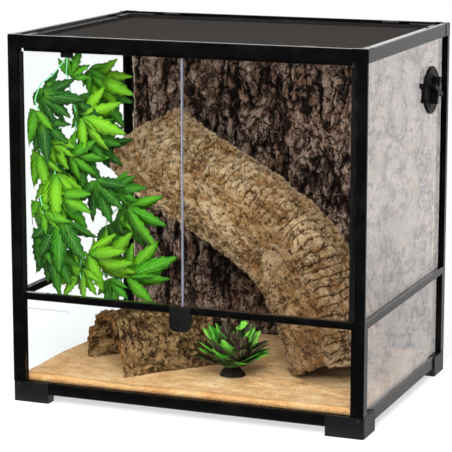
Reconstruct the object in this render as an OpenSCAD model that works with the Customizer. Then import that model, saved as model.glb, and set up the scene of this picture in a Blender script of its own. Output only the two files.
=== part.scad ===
/* [Overall size] */
// Width of the tank across the feet
tank_w = 610; // [600:1:630]
// Depth of the tank across the feet
tank_d = 457; // [450:1:470]
// Height of the tank
tank_h = 610; // [600:1:630]

/* [Frame] */
// Length of a foot along the front
foot_w = 64; // [56:1:72]
// Length of a foot along the side
foot_d = 58; // [50:1:64]
// Height of the feet and of the bottom rails' top
foot_h = 34; // [32:1:37]
// Underside of the bottom rails above the ground
rail_z = 14; // [10:1:16]
// Underside of the middle rails
mid_z = 173.5; // [165:0.5:180]
// Height of the middle rails
mid_h = 12; // [11:0.5:14]
// Height of the top rails
top_h = 22; // [21:0.5:24]

/* [Glass] */
// Thickness of the panes and doors
glass_t = 4; // [4:0.5:5]
// Depth of the panes behind the posts' faces
pane_inset = 5.3; // [5:0.1:6]

/* [Doors and lock] */
// How far each door opens in degrees
door_swing = 105; // [90:1:110]
// Rise of the lock bolt
bolt_rise = 7; // [6:0.5:8]

/* [Screen lid] */
// Width of the screen's bars
screen_bar = 16; // [14:0.5:18]
// Travel of the four lid latches
latch_travel = 5; // [4:0.5:5]

/* [Vent] */
// Radius of the vent's outer ring
vent_r = 40; // [38:0.5:42]
// Height of the vent's centre
vent_z = 504; // [480:1:510]
// Distance of the vent's centre behind the tank's middle
vent_y = 137; // [110:1:140]

/* [Furnishing] */
// Radius of the cork log
log_r = 84; // [70:1:86]
// Depth of the sand over the pan at the back
sand_depth = 15; // [12:1:20]

/* [Hidden] */
$fn = 48;

eps = 0.01;
half_w = tank_w / 2;
half_d = tank_d / 2;

// Planes across the frame's section, measured in from the tank's outer faces.
post_inset = 0.8;
rail_inset = 2.5;
foot_depth = 20.5;
foot_round = 5;
flange_t = 2;
rebate_z = 18;
rebate_w = 4;
pane_bottom = 26;

// The same planes as coordinates, x for the sides and y for the front and back.
function face(half) = half - post_inset;
function glass_out(half) = face(half) - pane_inset;
function glass_in(half) = glass_out(half) - glass_t;
function flange_in(half) = glass_in(half) - flange_t;
function rail_out(half) = half - rail_inset;
function rail_in(half) = half - foot_depth;
function rebate_in(half) = rail_in(half) + rebate_w;

mid_top = mid_z + mid_h;
joint_z = mid_z + 7;
groove = 4;
top_z = tank_h - top_h;
rim_z = tank_h - 0.6;
cap_len = 25;
ledge_z = top_z + 7;
rim_w = 8;
ledge_w = 10.7;
lip_z = top_z - 5;

lower_post_w = 22;
lower_post_d = 17;
front_post_w = 18.2;
front_return = 4.5;
rear_post_w = 20;
rear_return = 10;
inner_flange_d = 16.7;

tongue_l = 12;
tongue_z = [15.5, 24.5];

door_gap = 1;
door_bottom = mid_top + door_gap;
door_top = lip_z - door_gap;
hinge_x = half_w - 23.4;
hinge_y = half_d - 3.3;
strip_r = 3.2;
strip_reach = 3;
strip_grip = 1;
pin_r = 1.5;
pin_clear = 0.08;
pin_len = 7;
pin_top_len = 13;
seal_half = 2.3;
seal_lip = 0.6;

lock_x = -8;
lock_z = 165;
lock_r = 6;
lock_clear = 0.06;
cam_r = bolt_rise / sqrt(2);
cam_pin_r = 1.5;
cam_slot_gap = 0.35;
bolt_x = [-13, 9];
bolt_z = [152, mid_top];
bolt_t = 2;
housing_x = [-20, 16];
housing_z = [146, 186];
housing_t = 8.3;

lid_gap = 0.5;
lid_out_x = half_w - post_inset - rim_w - lid_gap;
lid_out_y = half_d - post_inset - rim_w - lid_gap;
lid_h = 10;
lid_top = ledge_z + lid_h;
mesh_z = ledge_z + 3;
mesh_t = 1;
mesh_grip = 3;
latch_x = 204;
latch_w = 28;
latch_t = 3;

// A box between two limits on each axis.
module block(x, y, z) {
  translate([x[0], y[0], z[0]]) cube([x[1] - x[0], y[1] - y[0], z[1] - z[0]]);
}

// A rectangle between two limits on each axis.
module span(x, y) {
  translate([x[0], y[0]]) square([x[1] - x[0], y[1] - y[0]]);
}

// Turns a shape drawn at the rear right corner to the corner with the given signs.
module corner(sx, sy) {
  mirror([sx < 0 ? 1 : 0, 0, 0]) mirror([0, sy < 0 ? 1 : 0, 0]) children();
}

// A section in the y-z plane, drawn along x between two limits.
module along_x(x) {
  translate([x[0], 0, 0]) rotate([90, 0, 90]) linear_extrude(x[1] - x[0]) children();
}

// A section in the x-z plane, drawn along y between two limits.
module along_y(y) {
  translate([0, y[1], 0]) rotate([90, 0, 0]) linear_extrude(y[1] - y[0]) children();
}

// ---------------------------------------------------------------- base frame

// Plan of a foot: two legs that meet in a rounded outer corner.
module foot_plan() {
  span([half_w - foot_w, half_w - foot_round], [rail_in(half_d), half_d]);
  span([rail_in(half_w), half_w], [half_d - foot_d, half_d - foot_round]);
  translate([half_w - foot_round, half_d - foot_round]) circle(foot_round);
}

// Grooves that hold the lower panes' edges, cut in the feet's tops.
module foot_grooves() {
  block([half_w - foot_w - 1, half_w - 12.8], [glass_in(half_d), glass_out(half_d)], [pane_bottom, foot_h + 1]);
  block([glass_in(half_w), glass_out(half_w)], [half_d - foot_d - 1, half_d - 11.8], [pane_bottom, foot_h + 1]);
}

// Sockets in a foot for the tongues of its two rails.
module foot_sockets() {
  block([half_w - foot_w - 1, half_w - foot_w + tongue_l], [rail_in(half_d) + 4, glass_out(half_d)], tongue_z);
  block([rail_in(half_w) + 4, glass_out(half_w)], [half_d - foot_d - 1, half_d - foot_d + tongue_l], tongue_z);
}

// Hollows under a foot's two legs, leaving a solid pad at the corner.
module foot_hollows() {
  wall = 3;
  pocket = [-1, 10];
  block([half_w - foot_w + wall, rail_in(half_w) - wall], [rail_in(half_d) + wall, half_d - wall], pocket);
  block([rail_in(half_w) + wall, half_w - wall], [half_d - foot_d + wall, rail_in(half_d) - wall], pocket);
}

screw_r = 2.4;
screw_head = 1;
shank_r = 1.2;
shank_l = 7;
screw_gap = 0.1;
screw_in = 10;
screw_z = foot_h - 5;

// A pan-head screw that points along +Y, with its head's face at y = 0.
module screw(gap = 0) {
  rotate([-90, 0, 0]) {
    cylinder(h = screw_head, r = screw_r + gap);
    cylinder(h = shank_l, r = shank_r + gap);
  }
}

// Places a screw on the long outer face of each foot.
module on_feet() {
  for (sx = [-1, 1], sy = [-1, 1])
    corner(sx, sy) translate([half_w - screw_in, half_d - 0.3, screw_z]) mirror([0, 1, 0]) children();
}

module foot(sx, sy) {
  color("#151516") difference() {
    corner(sx, sy) difference() {
      linear_extrude(foot_h) foot_plan();
      block([0, rebate_in(half_w)], [0, rebate_in(half_d)], [rebate_z, foot_h + 1]);
      foot_grooves();
      foot_sockets();
      foot_hollows();
    }
    corner(sx, sy) translate([half_w - screw_in, half_d - 0.3, screw_z]) mirror([0, 1, 0]) {
      screw(screw_gap);
      translate([0, -1, 0]) rotate([-90, 0, 0]) cylinder(h = 1.5, r = screw_r + screw_gap);
    }
  }
}

module frame_screws() {
  color("#3b3b3d") on_feet() difference() {
    screw();
    translate([-screw_r, -eps, -0.4]) cube([2 * screw_r, 0.6, 0.8]);
  }
}

// Section of a bottom rail, in the plane across it, for a side at the given half size.
module bottom_rail_section(half) {
  out = rail_out(half);
  inn = rail_in(half);
  polygon([
    [inn, rail_z], [out - 1.5, rail_z], [out, rail_z + 1.5], [out, foot_h - 1.5], [out - 1.5, foot_h],
    [glass_out(half), foot_h], [glass_out(half), pane_bottom], [glass_in(half), pane_bottom],
    [glass_in(half), foot_h], [rebate_in(half), foot_h], [rebate_in(half), rebate_z], [inn, rebate_z]
  ]);
}

module bottom_rail_x(sy) {
  end = half_w - foot_w;
  color("#101011") corner(1, sy) {
    along_x([-end, end]) bottom_rail_section(half_d);
    for (s = [-1, 1])
      corner(s, 1) block([end, end + tongue_l], [rail_in(half_d) + 4, glass_out(half_d)], tongue_z);
  }
}

module bottom_rail_y(sx) {
  end = half_d - foot_d;
  color("#101011") corner(sx, 1) {
    along_y([-end, end]) bottom_rail_section(half_w);
    for (s = [-1, 1])
      corner(1, s) block([rail_in(half_w) + 4, glass_out(half_w)], [end, end + tongue_l], tongue_z);
  }
}

pan_gap = 0.1;
pan_t = 4;
pan_wall = 2;
pan_floor = rebate_z + pan_t;

module base_pan() {
  px = rebate_in(half_w) - pan_gap;
  py = rebate_in(half_d) - pan_gap;
  color("#1a1a1b") difference() {
    block([-px, px], [-py, py], [rebate_z, foot_h]);
    block([-px + pan_wall, px - pan_wall], [-py + pan_wall, py - pan_wall], [pan_floor, foot_h + 1]);
  }
}

// ---------------------------------------------------------------- posts

// A lower post: an L with grooves for the panes, cut back at the top where the middle rails lie.
module lower_post(sx, sy) {
  post_w = sy < 0 ? front_post_w : rear_post_w;
  top_x = face(half_w) - post_w;
  color("#101011") corner(sx, sy) difference() {
    union() {
      block([half_w - post_inset - lower_post_w, face(half_w)], [flange_in(half_d), face(half_d)], [foot_h, mid_z]);
      block([flange_in(half_w), face(half_w)], [face(half_d) - lower_post_d, face(half_d)], [foot_h, mid_z]);
      block([top_x, face(half_w)], [flange_in(half_d), face(half_d)], [mid_z, joint_z]);
    }
    block([0, half_w - 12.8], [glass_in(half_d), glass_out(half_d)], [foot_h - 1, mid_z + groove]);
    block([glass_in(half_w), glass_out(half_w)], [0, half_d - 11.8], [foot_h - 1, mid_z + groove]);
  }
}

// Plan of a front upper post above the middle rails.
module front_post_plan() {
  x_in = face(half_w) - front_post_w;
  difference() {
    span([x_in, face(half_w)], [flange_in(half_d), face(half_d)]);
    span([glass_out(half_w), half_w], [0, face(half_d) - front_return]);
    span([glass_in(half_w), glass_out(half_w)], [0, face(half_d) - 2.5]);
  }
  span([flange_in(half_w), glass_in(half_w)], [face(half_d) - inner_flange_d, flange_in(half_d)]);
}

// Plan of a rear upper post above the middle rails.
module rear_post_plan() {
  x_in = face(half_w) - rear_post_w;
  difference() {
    union() {
      span([x_in, face(half_w)], [flange_in(half_d), face(half_d)]);
      span([glass_out(half_w), face(half_w)], [face(half_d) - rear_return, face(half_d)]);
      span([flange_in(half_w), glass_in(half_w)], [face(half_d) - inner_flange_d, face(half_d)]);
    }
    span([glass_out(half_w), half_w], [0, face(half_d) - rear_return]);
    span([glass_in(half_w), glass_out(half_w)], [0, glass_in(half_d)]);
    span([0, half_w - 12.6], [glass_in(half_d), glass_out(half_d)]);
  }
}

module upper_post(sx, sy) {
  post_w = sy < 0 ? front_post_w : rear_post_w;
  x_in = face(half_w) - post_w;
  pane_z = mid_top - groove;
  color("#101011") corner(sx, sy) {
    difference() {
      translate([0, 0, pane_z]) linear_extrude(top_z - pane_z) {
        if (sy < 0) front_post_plan();
        else rear_post_plan();
      }
      block([0, half_w], [0, flange_in(half_d)], [0, mid_top]);
    }
    block([x_in, face(half_w)], [flange_in(half_d), face(half_d)], [joint_z, pane_z]);
    block([glass_out(half_w), face(half_w)], [flange_in(half_d), face(half_d)], [joint_z, mid_top]);
  }
}

// ---------------------------------------------------------------- middle rails

// Section of a middle rail with grooves for the panes below and above.
module mid_section(half) {
  difference() {
    polygon([
      [flange_in(half), mid_z], [face(half) - 1, mid_z], [face(half), mid_z + 1], [face(half), mid_top - 1],
      [face(half) - 1, mid_top], [flange_in(half), mid_top]
    ]);
    span([glass_in(half), glass_out(half)], [mid_z - 1, mid_z + groove]);
    span([glass_in(half), glass_out(half)], [mid_top - groove, mid_top + 1]);
  }
}

// Section of the front middle rail: a rounded sill with a bead line, grooved below only.
module front_sill_section() {
  round_r = 3;
  out = face(half_d);
  difference() {
    union() {
      span([flange_in(half_d), out - round_r], [mid_z, mid_top]);
      span([flange_in(half_d), out], [mid_z + 2, mid_top - round_r]);
      translate([out - round_r, mid_top - round_r]) circle(round_r);
      translate([out - 2, mid_z + 2]) circle(2);
    }
    span([glass_in(half_d), glass_out(half_d)], [mid_z - 1, mid_z + groove]);
    translate([out, mid_z + 5.2]) circle(0.7);
  }
}

// The doors' lower pins turn in bores in the front sill.
module mid_rail_front() {
  end = face(half_w) - front_post_w;
  sill_in = flange_in(half_d);
  color("#101011") difference() {
    corner(1, -1) union() {
      along_x([-end, end]) front_sill_section();
    }
    for (s = [-1, 1])
      translate([s * hinge_x, -hinge_y, door_bottom - pin_len - 1.5]) cylinder(h = pin_len + 2, r = pin_r + pin_clear);
  }
}

module mid_rail_rear() {
  end = face(half_w) - rear_post_w;
  color("#101011") along_x([-end, end]) mid_section(half_d);
}

module mid_rail_side(sx) {
  end = flange_in(half_d);
  color("#101011") corner(sx, 1) along_y([-end, end]) mid_section(half_w);
}

// ---------------------------------------------------------------- top frame

// Section of a top rail: a tall outer wall, a ledge that carries the screen and a groove for the pane.
module top_section(half, open_below = false) {
  out = face(half);
  wall_in = out - rim_w;
  pane_top = top_z + groove;
  difference() {
    polygon([
      [wall_in - ledge_w, top_z], [out, top_z], [out, rim_z - 1], [out - 1, rim_z], [wall_in + 0.8, rim_z],
      [wall_in, rim_z - 0.8], [wall_in, ledge_z], [wall_in - ledge_w, ledge_z]
    ]);
    if (!open_below) span([glass_in(half), glass_out(half)], [top_z - 1, pane_top]);
  }
}

// Slots in the front and rear rims that the lid's latches slide into.
module latch_slots(sy) {
  wall_in = face(half_d) - rim_w;
  for (s = [-1, 1])
    corner(s, sy)
      block([latch_x - latch_w / 2 - 0.4, latch_x + latch_w / 2 + 0.4], [wall_in - 1, wall_in + latch_travel + 0.6],
            [lid_top - 0.3, lid_top + latch_t + 0.3]);
}

module top_rail_front() {
  end = half_w - cap_len;
  lip_end = face(half_w) - front_post_w;
  color("#0e0e0f") difference() {
    corner(1, -1) union() {
      along_x([-end, end]) top_section(half_d, true);
      block([-lip_end + 8, lip_end - 8], [flange_in(half_d), half_d - 5.5], [lip_z, top_z]);
    }
    latch_slots(-1);
  }
}

module top_rail_rear() {
  end = half_w - cap_len;
  color("#0e0e0f") difference() {
    along_x([-end, end]) top_section(half_d);
    latch_slots(1);
  }
}

module top_rail_side(sx) {
  end = half_d - cap_len;
  color("#0e0e0f") corner(sx, 1) along_y([-end, end]) top_section(half_w);
}

// A corner cap over the ends of two top rails, at the rear right corner.
module corner_cap() {
  round_r = 3;
  bevel = 1.6;
  wall_x = face(half_w) - rim_w;
  wall_y = face(half_d) - rim_w;
  x0 = half_w - cap_len;
  y0 = half_d - cap_len;
  difference() {
    union() {
      translate([0, 0, top_z]) linear_extrude(top_h - bevel) {
        span([x0, half_w - round_r], [y0, half_d]);
        span([x0, half_w], [y0, half_d - round_r]);
        translate([half_w - round_r, half_d - round_r]) circle(round_r);
      }
      translate([0, 0, tank_h - bevel]) linear_extrude(bevel) span([x0, half_w - bevel], [y0, half_d - bevel]);
    }
    block([0, wall_x], [0, wall_y], [ledge_z, tank_h + 1]);
  }
}

module top_corner_caps() {
  color("#131314") for (sx = [-1, 1], sy = [-1, 1]) difference() {
    corner(sx, sy) difference() {
      corner_cap();
      block([glass_in(half_w), glass_out(half_w)],
            [0, sy < 0 ? face(half_d) - 2.5 : glass_in(half_d)], [top_z - 1, top_z + groove]);
      if (sy > 0) block([0, half_w - 12.6], [glass_in(half_d), glass_out(half_d)], [top_z - 1, top_z + groove]);
    }
    if (sy < 0)
      translate([sx * hinge_x, -hinge_y, top_z - 1]) cylinder(h = pin_top_len - 3, r = pin_r + pin_clear);
  }
}

// ---------------------------------------------------------------- panes

edge_gap = 0.3;

module lower_pane_x(sy) {
  end = half_w - 12.8 - edge_gap;
  color("#cfe6e2", 0.35) corner(1, sy)
    block([-end, end], [glass_in(half_d), glass_out(half_d)], [pane_bottom, mid_z + groove - edge_gap]);
}

module lower_pane_y(sx) {
  end = half_d - 11.8 - edge_gap;
  color("#cfe6e2", 0.35) corner(sx, 1)
    block([glass_in(half_w), glass_out(half_w)], [-end, end], [pane_bottom, mid_z + groove - edge_gap]);
}

module upper_pane_rear() {
  end = half_w - 12.6 - edge_gap;
  color("#cfe6e2", 0.35)
    block([-end, end], [glass_in(half_d), glass_out(half_d)], [mid_top - groove, top_z + groove - edge_gap]);
}

module upper_pane_side(sx) {
  color("#cfe6e2", 0.35) corner(sx, 1)
    block([glass_in(half_w), glass_out(half_w)], [-face(half_d) + 2.5 + edge_gap, glass_in(half_d) - edge_gap],
          [mid_top - groove, top_z + groove - edge_gap]);
}

module upper_pane_right() {
  difference() {
    upper_pane_side(1);
    translate([glass_in(half_w) - 1, vent_y, vent_z]) rotate([0, 90, 0]) cylinder(h = glass_t + 2, r = vent_sleeve_r + 0.2);
  }
}

// ---------------------------------------------------------------- doors

door_out = half_d - 1.3;
door_in = door_out - glass_t;
strip_edge = hinge_x - strip_reach;

module door_glass_left() {
  color("#cfe6e2", 0.35)
    block([-strip_edge - strip_grip, -seal_lip], [-door_out, -door_in], [door_bottom, door_top]);
}

module door_glass_right() {
  color("#cfe6e2", 0.35)
    block([seal_half - 0.2, strip_edge + strip_grip], [-door_out, -door_in], [door_bottom, door_top]);
}

// A channel on the door's outer edge with a round back and a pin at each end.
module door_hinge_strip(sx) {
  color("#2c2d30") corner(sx, 1) {
    translate([0, 0, door_bottom]) linear_extrude(door_top - door_bottom) difference() {
      union() {
        translate([hinge_x, -hinge_y]) circle(strip_r);
        span([strip_edge, hinge_x], [-hinge_y - strip_r, -hinge_y + strip_r]);
      }
      span([strip_edge - 1, strip_edge + strip_grip], [-door_out, -door_in]);
    }
    translate([hinge_x, -hinge_y, door_bottom - pin_len]) cylinder(h = pin_len, r = pin_r);
    translate([hinge_x, -hinge_y, door_top]) cylinder(h = pin_top_len, r = pin_r);
  }
}

// A clear channel along the left door's free edge, which closes the gap between the doors.
module door_edge_seal() {
  color("#9aa3b8", 0.6) difference() {
    block([-seal_half - 0.5, seal_half - 0.7], [-door_out - seal_lip, -door_in + seal_lip], [door_bottom, door_top]);
    block([-seal_half - 1, -seal_lip], [-door_out, -door_in], [door_bottom - 1, door_top + 1]);
  }
}

// ---------------------------------------------------------------- lock

lock_face = face(half_d) + housing_t;
bolt_front = half_d + 2.3;
bolt_rear = bolt_front - bolt_t;
bolt_gap = 0.3;

// Outline of the latch housing with rounded lower corners.
module housing_outline() {
  r = 11;
  span([housing_x[0], housing_x[1]], [housing_z[0] + r, housing_z[1]]);
  span([housing_x[0] + r, housing_x[1] - r], [housing_z[0], housing_z[1]]);
  for (x = [housing_x[0] + r, housing_x[1] - r]) translate([x, housing_z[0] + r]) circle(r);
  translate([housing_x[1], lock_z - 1]) circle(3);
}

module latch_housing() {
  color("#141415") difference() {
    along_y([-lock_face, -face(half_d)]) housing_outline();
    block([bolt_x[0] - bolt_gap, bolt_x[1] + bolt_gap], [-bolt_front - bolt_gap, -bolt_rear + bolt_gap],
          [bolt_z[0] - bolt_gap, housing_z[1] + 1]);
    translate([lock_x, -lock_face - 1, lock_z]) rotate([-90, 0, 0])
      cylinder(h = lock_face - bolt_front + 1, r = lock_r + lock_clear);
  }
}

// The lock cylinder turns a pin that lifts the bolt.
module lock_cylinder() {
  proud = 0.8;
  back = bolt_front + bolt_gap;
  color("#2a2a2c") {
    difference() {
      translate([lock_x, -lock_face - proud, lock_z]) rotate([-90, 0, 0]) cylinder(h = lock_face + proud - back, r = lock_r);
      block([lock_x - 0.6, lock_x + 0.6], [-lock_face - proud - 1, -lock_face + 2.2], [lock_z - 3.2, lock_z + 3.2]);
    }
    translate([lock_x + cam_r * cos(45), -back - eps, lock_z - cam_r * sin(45)]) rotate([-90, 0, 0])
      cylinder(h = back - bolt_rear + eps, r = cam_pin_r);
  }
}

module lock_bolt() {
  slot_z = lock_z - cam_r * sin(45);
  reach = cam_pin_r + cam_slot_gap;
  color("#8d8f92") difference() {
    block(bolt_x, [-bolt_front, -bolt_rear], bolt_z);
    block([lock_x + 1.2, lock_x + cam_r + reach + 0.6], [-bolt_front - 1, -bolt_rear + 1], [slot_z - reach, slot_z + reach]);
  }
}

// ---------------------------------------------------------------- screen lid

module screen_frame() {
  lip = 2;
  color("#1b1b1c") difference() {
    union() {
      block([-lid_out_x, lid_out_x], [-lid_out_y, lid_out_y], [ledge_z, lid_top - 1]);
      block([-lid_out_x + 1, lid_out_x - 1], [-lid_out_y + 1, lid_out_y - 1], [lid_top - 1 - eps, lid_top]);
    }
    block([-lid_out_x + screen_bar, lid_out_x - screen_bar], [-lid_out_y + screen_bar, lid_out_y - screen_bar],
          [ledge_z - 1, lid_top + 1]);
    block([-lid_out_x + screen_bar - mesh_grip, lid_out_x - screen_bar + mesh_grip],
          [-lid_out_y + screen_bar - mesh_grip, lid_out_y - screen_bar + mesh_grip], [mesh_z, mesh_z + mesh_t]);
  }
}

// Flat plates that join the screen's bars at its corners.
module screen_corners() {
  leg = 57;
  plate_t = 1.4;
  color("#242425") for (sx = [-1, 1], sy = [-1, 1]) corner(sx, sy) difference() {
    block([lid_out_x - leg, lid_out_x - 2], [lid_out_y - leg, lid_out_y - 2], [lid_top, lid_top + plate_t]);
    block([0, lid_out_x - screen_bar + 1], [0, lid_out_y - screen_bar + 1], [lid_top - 1, lid_top + plate_t + 1]);
  }
}

module screen_mesh() {
  x = lid_out_x - screen_bar + mesh_grip;
  y = lid_out_y - screen_bar + mesh_grip;
  color("#565453") block([-x, x], [-y, y], [mesh_z, mesh_z + mesh_t]);
}

// A sliding latch on the screen's bar, drawn retracted at the rear right.
module screen_latch(sx, sy) {
  w = latch_w / 2;
  tail = 13;
  color("#19191a") corner(sx, sy) {
    block([latch_x - w, latch_x + w], [lid_out_y - tail, lid_out_y - 0.2], [lid_top, lid_top + latch_t]);
    for (i = [0:2])
      block([latch_x - w + 4, latch_x + w - 4], [lid_out_y - tail + 1 + 3 * i, lid_out_y - tail + 2.4 + 3 * i],
            [lid_top + latch_t - eps, lid_top + latch_t + 1]);
  }
}

// ---------------------------------------------------------------- vent

vent_sleeve_r = 35.8;
vent_bore_r = 31;
vent_window_r = 25;
vent_hub_r = 9;
vent_spindle_r = 4;
vent_x = glass_out(half_w);
windows = 4;

// Turns a shape drawn about +Z to stand out of the right side's glass at the vent.
module at_vent() {
  translate([vent_x, vent_y, vent_z]) rotate([0, 90, 0]) children();
}

// A sector-shaped window between two radii.
module window(r0, r1, angle) {
  steps = 6;
  polygon([
    for (i = [0:steps]) r1 * [cos(angle * i / steps), sin(angle * i / steps)],
    for (i = [steps:-1:0]) r0 * [cos(angle * i / steps), sin(angle * i / steps)]
  ]);
}

module vent_windows() {
  open_angle = 180 / windows - 5;
  for (i = [0:windows - 1]) rotate(i * 360 / windows) window(vent_hub_r, vent_window_r, open_angle);
}

module vent_flange() {
  ear_w = 22;
  color("#1c1c1e") at_vent() difference() {
    union() {
      rotate_extrude() polygon([
        [vent_bore_r, -14], [vent_sleeve_r, -14], [vent_sleeve_r, 0], [vent_r, 0], [vent_r, 2], [vent_r - 2, 3.4],
        [vent_r - 5, 3.4], [vent_r - 6, 2.6], [vent_r - 8, 2.6], [vent_r - 9, 4], [vent_r - 12, 4],
        [vent_r - 12.5, 2.2], [0, 2.2], [0, 0], [vent_bore_r, 0]
      ]);
      translate([-ear_w / 2, -vent_r - 6, 0]) cube([ear_w, 14, 3.4]);
    }
    translate([0, 0, -1]) linear_extrude(5) vent_windows();
    translate([0, 0, -1]) cylinder(h = 5, r = vent_spindle_r);
  }
}

module vent_ring_nut() {
  depth = -glass_t;
  color("#1c1c1e") at_vent() difference() {
    translate([0, 0, depth - 5]) linear_extrude(5) {
      circle(vent_r);
      for (i = [0:5]) rotate(60 * i + 15) span([vent_r - 4, vent_r + 3], [-5, 5]);
    }
    translate([0, 0, depth - 6]) cylinder(h = 7, r = vent_sleeve_r);
  }
}

// The turning shutter with its spindle and a lobed knob.
module vent_cap() {
  gap = 0.3;
  spindle_clear = 0.06;
  plate = 2.2 + gap;
  top = 14.4;
  color("#202022") at_vent() {
    difference() {
      translate([0, 0, plate]) cylinder(h = 2, r = vent_r - 13);
      translate([0, 0, plate - 1]) linear_extrude(4) vent_windows();
    }
    translate([0, 0, -4]) cylinder(h = plate + 4 + eps, r = vent_spindle_r - spindle_clear);
    translate([0, 0, plate + 2 - eps]) linear_extrude(top - plate - 2) {
      circle(vent_hub_r - 1);
      for (i = [0:3]) rotate(90 * i - 24) {
        span([0, 20], [-3.4, 3.4]);
        translate([20, 0]) circle(4.2);
      }
    }
  }
}

// ---------------------------------------------------------------- furnishing

// A smooth wavering number between -1 and 1 from three angles' worth of input.
function waver(a, b, c) = (sin(a) + sin(b) + sin(c)) / 3;

// A closed arch through rings of points. Each ring runs over the outside of the arch and back along its
// inside, so that its two flat ends are strips between facing points.
module arch_loft(rings) {
  n = len(rings[0]);
  last = len(rings) - 1;
  polyhedron(
    points = [for (ring = rings) each ring],
    faces = concat(
      [for (i = [0:last - 1], j = [0:n - 1]) each [
        [i * n + j, (i + 1) * n + j, (i + 1) * n + (j + 1) % n],
        [i * n + j, (i + 1) * n + (j + 1) % n, i * n + (j + 1) % n]
      ]],
      [for (j = [0:n / 2 - 2]) each [[j, j + 1, n - 2 - j], [j, n - 2 - j, n - 1 - j]]],
      [for (j = [0:n / 2 - 2], k = last * n) each [
        [k + j, k + n - 2 - j, k + j + 1], [k + j, k + n - 1 - j, k + n - 2 - j]
      ]]
    )
  );
}

// A closed surface through rings of points that also joins its last ring to its first.
module ring_loft(rings) {
  n = len(rings[0]);
  m = len(rings);
  polyhedron(
    points = [for (ring = rings) each ring],
    faces = [for (i = [0:m - 1], j = [0:n - 1]) each [
      [i * n + j, ((i + 1) % m) * n + (j + 1) % n, ((i + 1) % m) * n + j],
      [i * n + j, i * n + (j + 1) % n, ((i + 1) % m) * n + (j + 1) % n]
    ]]
  );
}

// A block with a flat bottom whose top follows heights over a grid of nx by ny cells.
module height_block(nx, ny, bottom, points) {
  m = ny + 1;
  rim = [
    for (i = [0:nx - 1]) i * m, for (j = [0:ny - 1]) nx * m + j,
    for (i = [nx:-1:1]) i * m + ny, for (j = [ny:-1:1]) j
  ];
  base = (nx + 1) * m;
  n = len(rim);
  centre = (points[0] + points[base - 1]) / 2;
  polyhedron(
    points = concat(
      points,
      [for (k = rim) [points[k][0], points[k][1], bottom]],
      [[centre[0], centre[1], bottom]]
    ),
    faces = concat(
      [for (i = [0:nx - 1], j = [0:ny - 1]) each [
        [i * m + j, i * m + j + 1, (i + 1) * m + j + 1],
        [i * m + j, (i + 1) * m + j + 1, (i + 1) * m + j]
      ]],
      [for (k = [0:n - 1]) let (k2 = (k + 1) % n) each [
        [rim[k], rim[k2], base + k2], [rim[k], base + k2, base + k], [base + k, base + k2, base + n]
      ]]
    )
  );
}

panel_x = [-270, 289];
panel_back = flange_in(half_d) - 0.1;
panel_base_t = 12;
panel_face = panel_back - panel_base_t;
sand_front = flange_in(half_d) - 0.1;
sand_rear = panel_face - 9;
sand_side = flange_in(half_w) - 0.1;

// Height of the sand's surface, falling from front to back with soft dunes.
function sand_z(x, y) =
  pan_floor + sand_depth + 2.5 + 5 * (sand_rear - y) / (sand_rear + sand_front)
  + 2.6 * waver(1.1 * x + 40, 1.7 * x + 1.3 * y, 2.1 * y - 0.8 * x);

// The sand fills the pan and takes the print of what is bedded in it.
module sand_bed() {
  nx = 26;
  ny = 18;
  px = rebate_in(half_w) - pan_gap - pan_wall - 0.1;
  py = rebate_in(half_d) - pan_gap - pan_wall - 0.1;
  color("#d9b98a") resize([0, 0, 0]) difference() {
    union() {
      height_block(nx, ny, foot_h, [
        for (i = [0:nx], j = [0:ny])
          let (x = -sand_side + 2 * sand_side * i / nx, y = -sand_front + (sand_front + sand_rear) * j / ny)
            [x, y, sand_z(x, y)]
      ]);
      block([-px, px], [-py, py], [pan_floor, foot_h]);
    }
    log_body();
    hide_body();
    plant_stone();
  }
}

// Depth of the bark's relief in front of the panel: rough vertical plates.
function bark_relief(x, z) =
  5 + 2.6 * waver(5.1 * x + 0.9 * z, 2.3 * z - 3.7 * x, 1.3 * z + 9.3 * x) + 1.2 * sin(7 * z + 4 * x);

module background_panel() {
  nx = 24;
  nz = 22;
  z0 = foot_h;
  z1 = top_z - 2;
  w = panel_x[1] - panel_x[0];
  color("#4a3527") translate([0, panel_back, 0]) rotate([90, 0, 0]) height_block(nx, nz, 0, [
    for (i = [0:nx], j = [0:nz])
      let (x = panel_x[0] + w * i / nx, z = z0 + (z1 - z0) * j / nz)
        [x, z, panel_base_t + bark_relief(x, z)]
  ]);
}

// The cork log's centre line runs from its upper end, against the left pane, through two control
// points to its foot in the sand.
log_line_points = [[-222, 109, 412], [-105, 104, 285], [122, 18, 337], [205, -33, 60]];
log_wall = 14;
log_flare = 5;
log_rake = 16;

function unit(v) = v / norm(v);
function log_line(t) =
  let (p = log_line_points, s = 1 - t)
    s * s * s * p[0] + 3 * s * s * t * p[1] + 3 * s * t * t * p[2] + t * t * t * p[3];
function log_axis(t) =
  let (p = log_line_points, s = 1 - t)
    unit(s * s * (p[1] - p[0]) + 2 * s * t * (p[2] - p[1]) + t * t * (p[3] - p[2]));
function log_side(t) = unit(cross(log_axis(t), [0, 0, 1]));
function log_up(t) = cross(log_side(t), log_axis(t));
function log_radius(t, a) =
  (log_r - 3 * t + log_flare * pow(t, 6))
  * (1 + 0.05 * waver(2 * a + 100 * t, 3 * a - 160 * t, 5 * a + 40) + 0.03 * sin(7 * a + 400 * t));
function log_ring(t, shrink, n) = [
  for (j = [0:n - 1])
    let (a = 360 * j / n, r = log_radius(t, a) - shrink)
      log_line(t) + r * (cos(a) * log_side(t) + sin(a) * log_up(t))
      + log_rake * pow(1 - t, 4) * sin(a + 20) * log_axis(t)
];

// The log's wall between its bark, drawn out by a clearance, and its hollow.
module log_body(gap = 0) {
  rings = 13;
  n = 26;
  ring_loft([
    for (i = [0:rings]) log_ring(i / rings, -gap, n),
    for (i = [rings:-1:0]) log_ring(i / rings, log_wall + gap, n)
  ]);
}

module cork_log() {
  color("#b58e5a") log_body();
}

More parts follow.
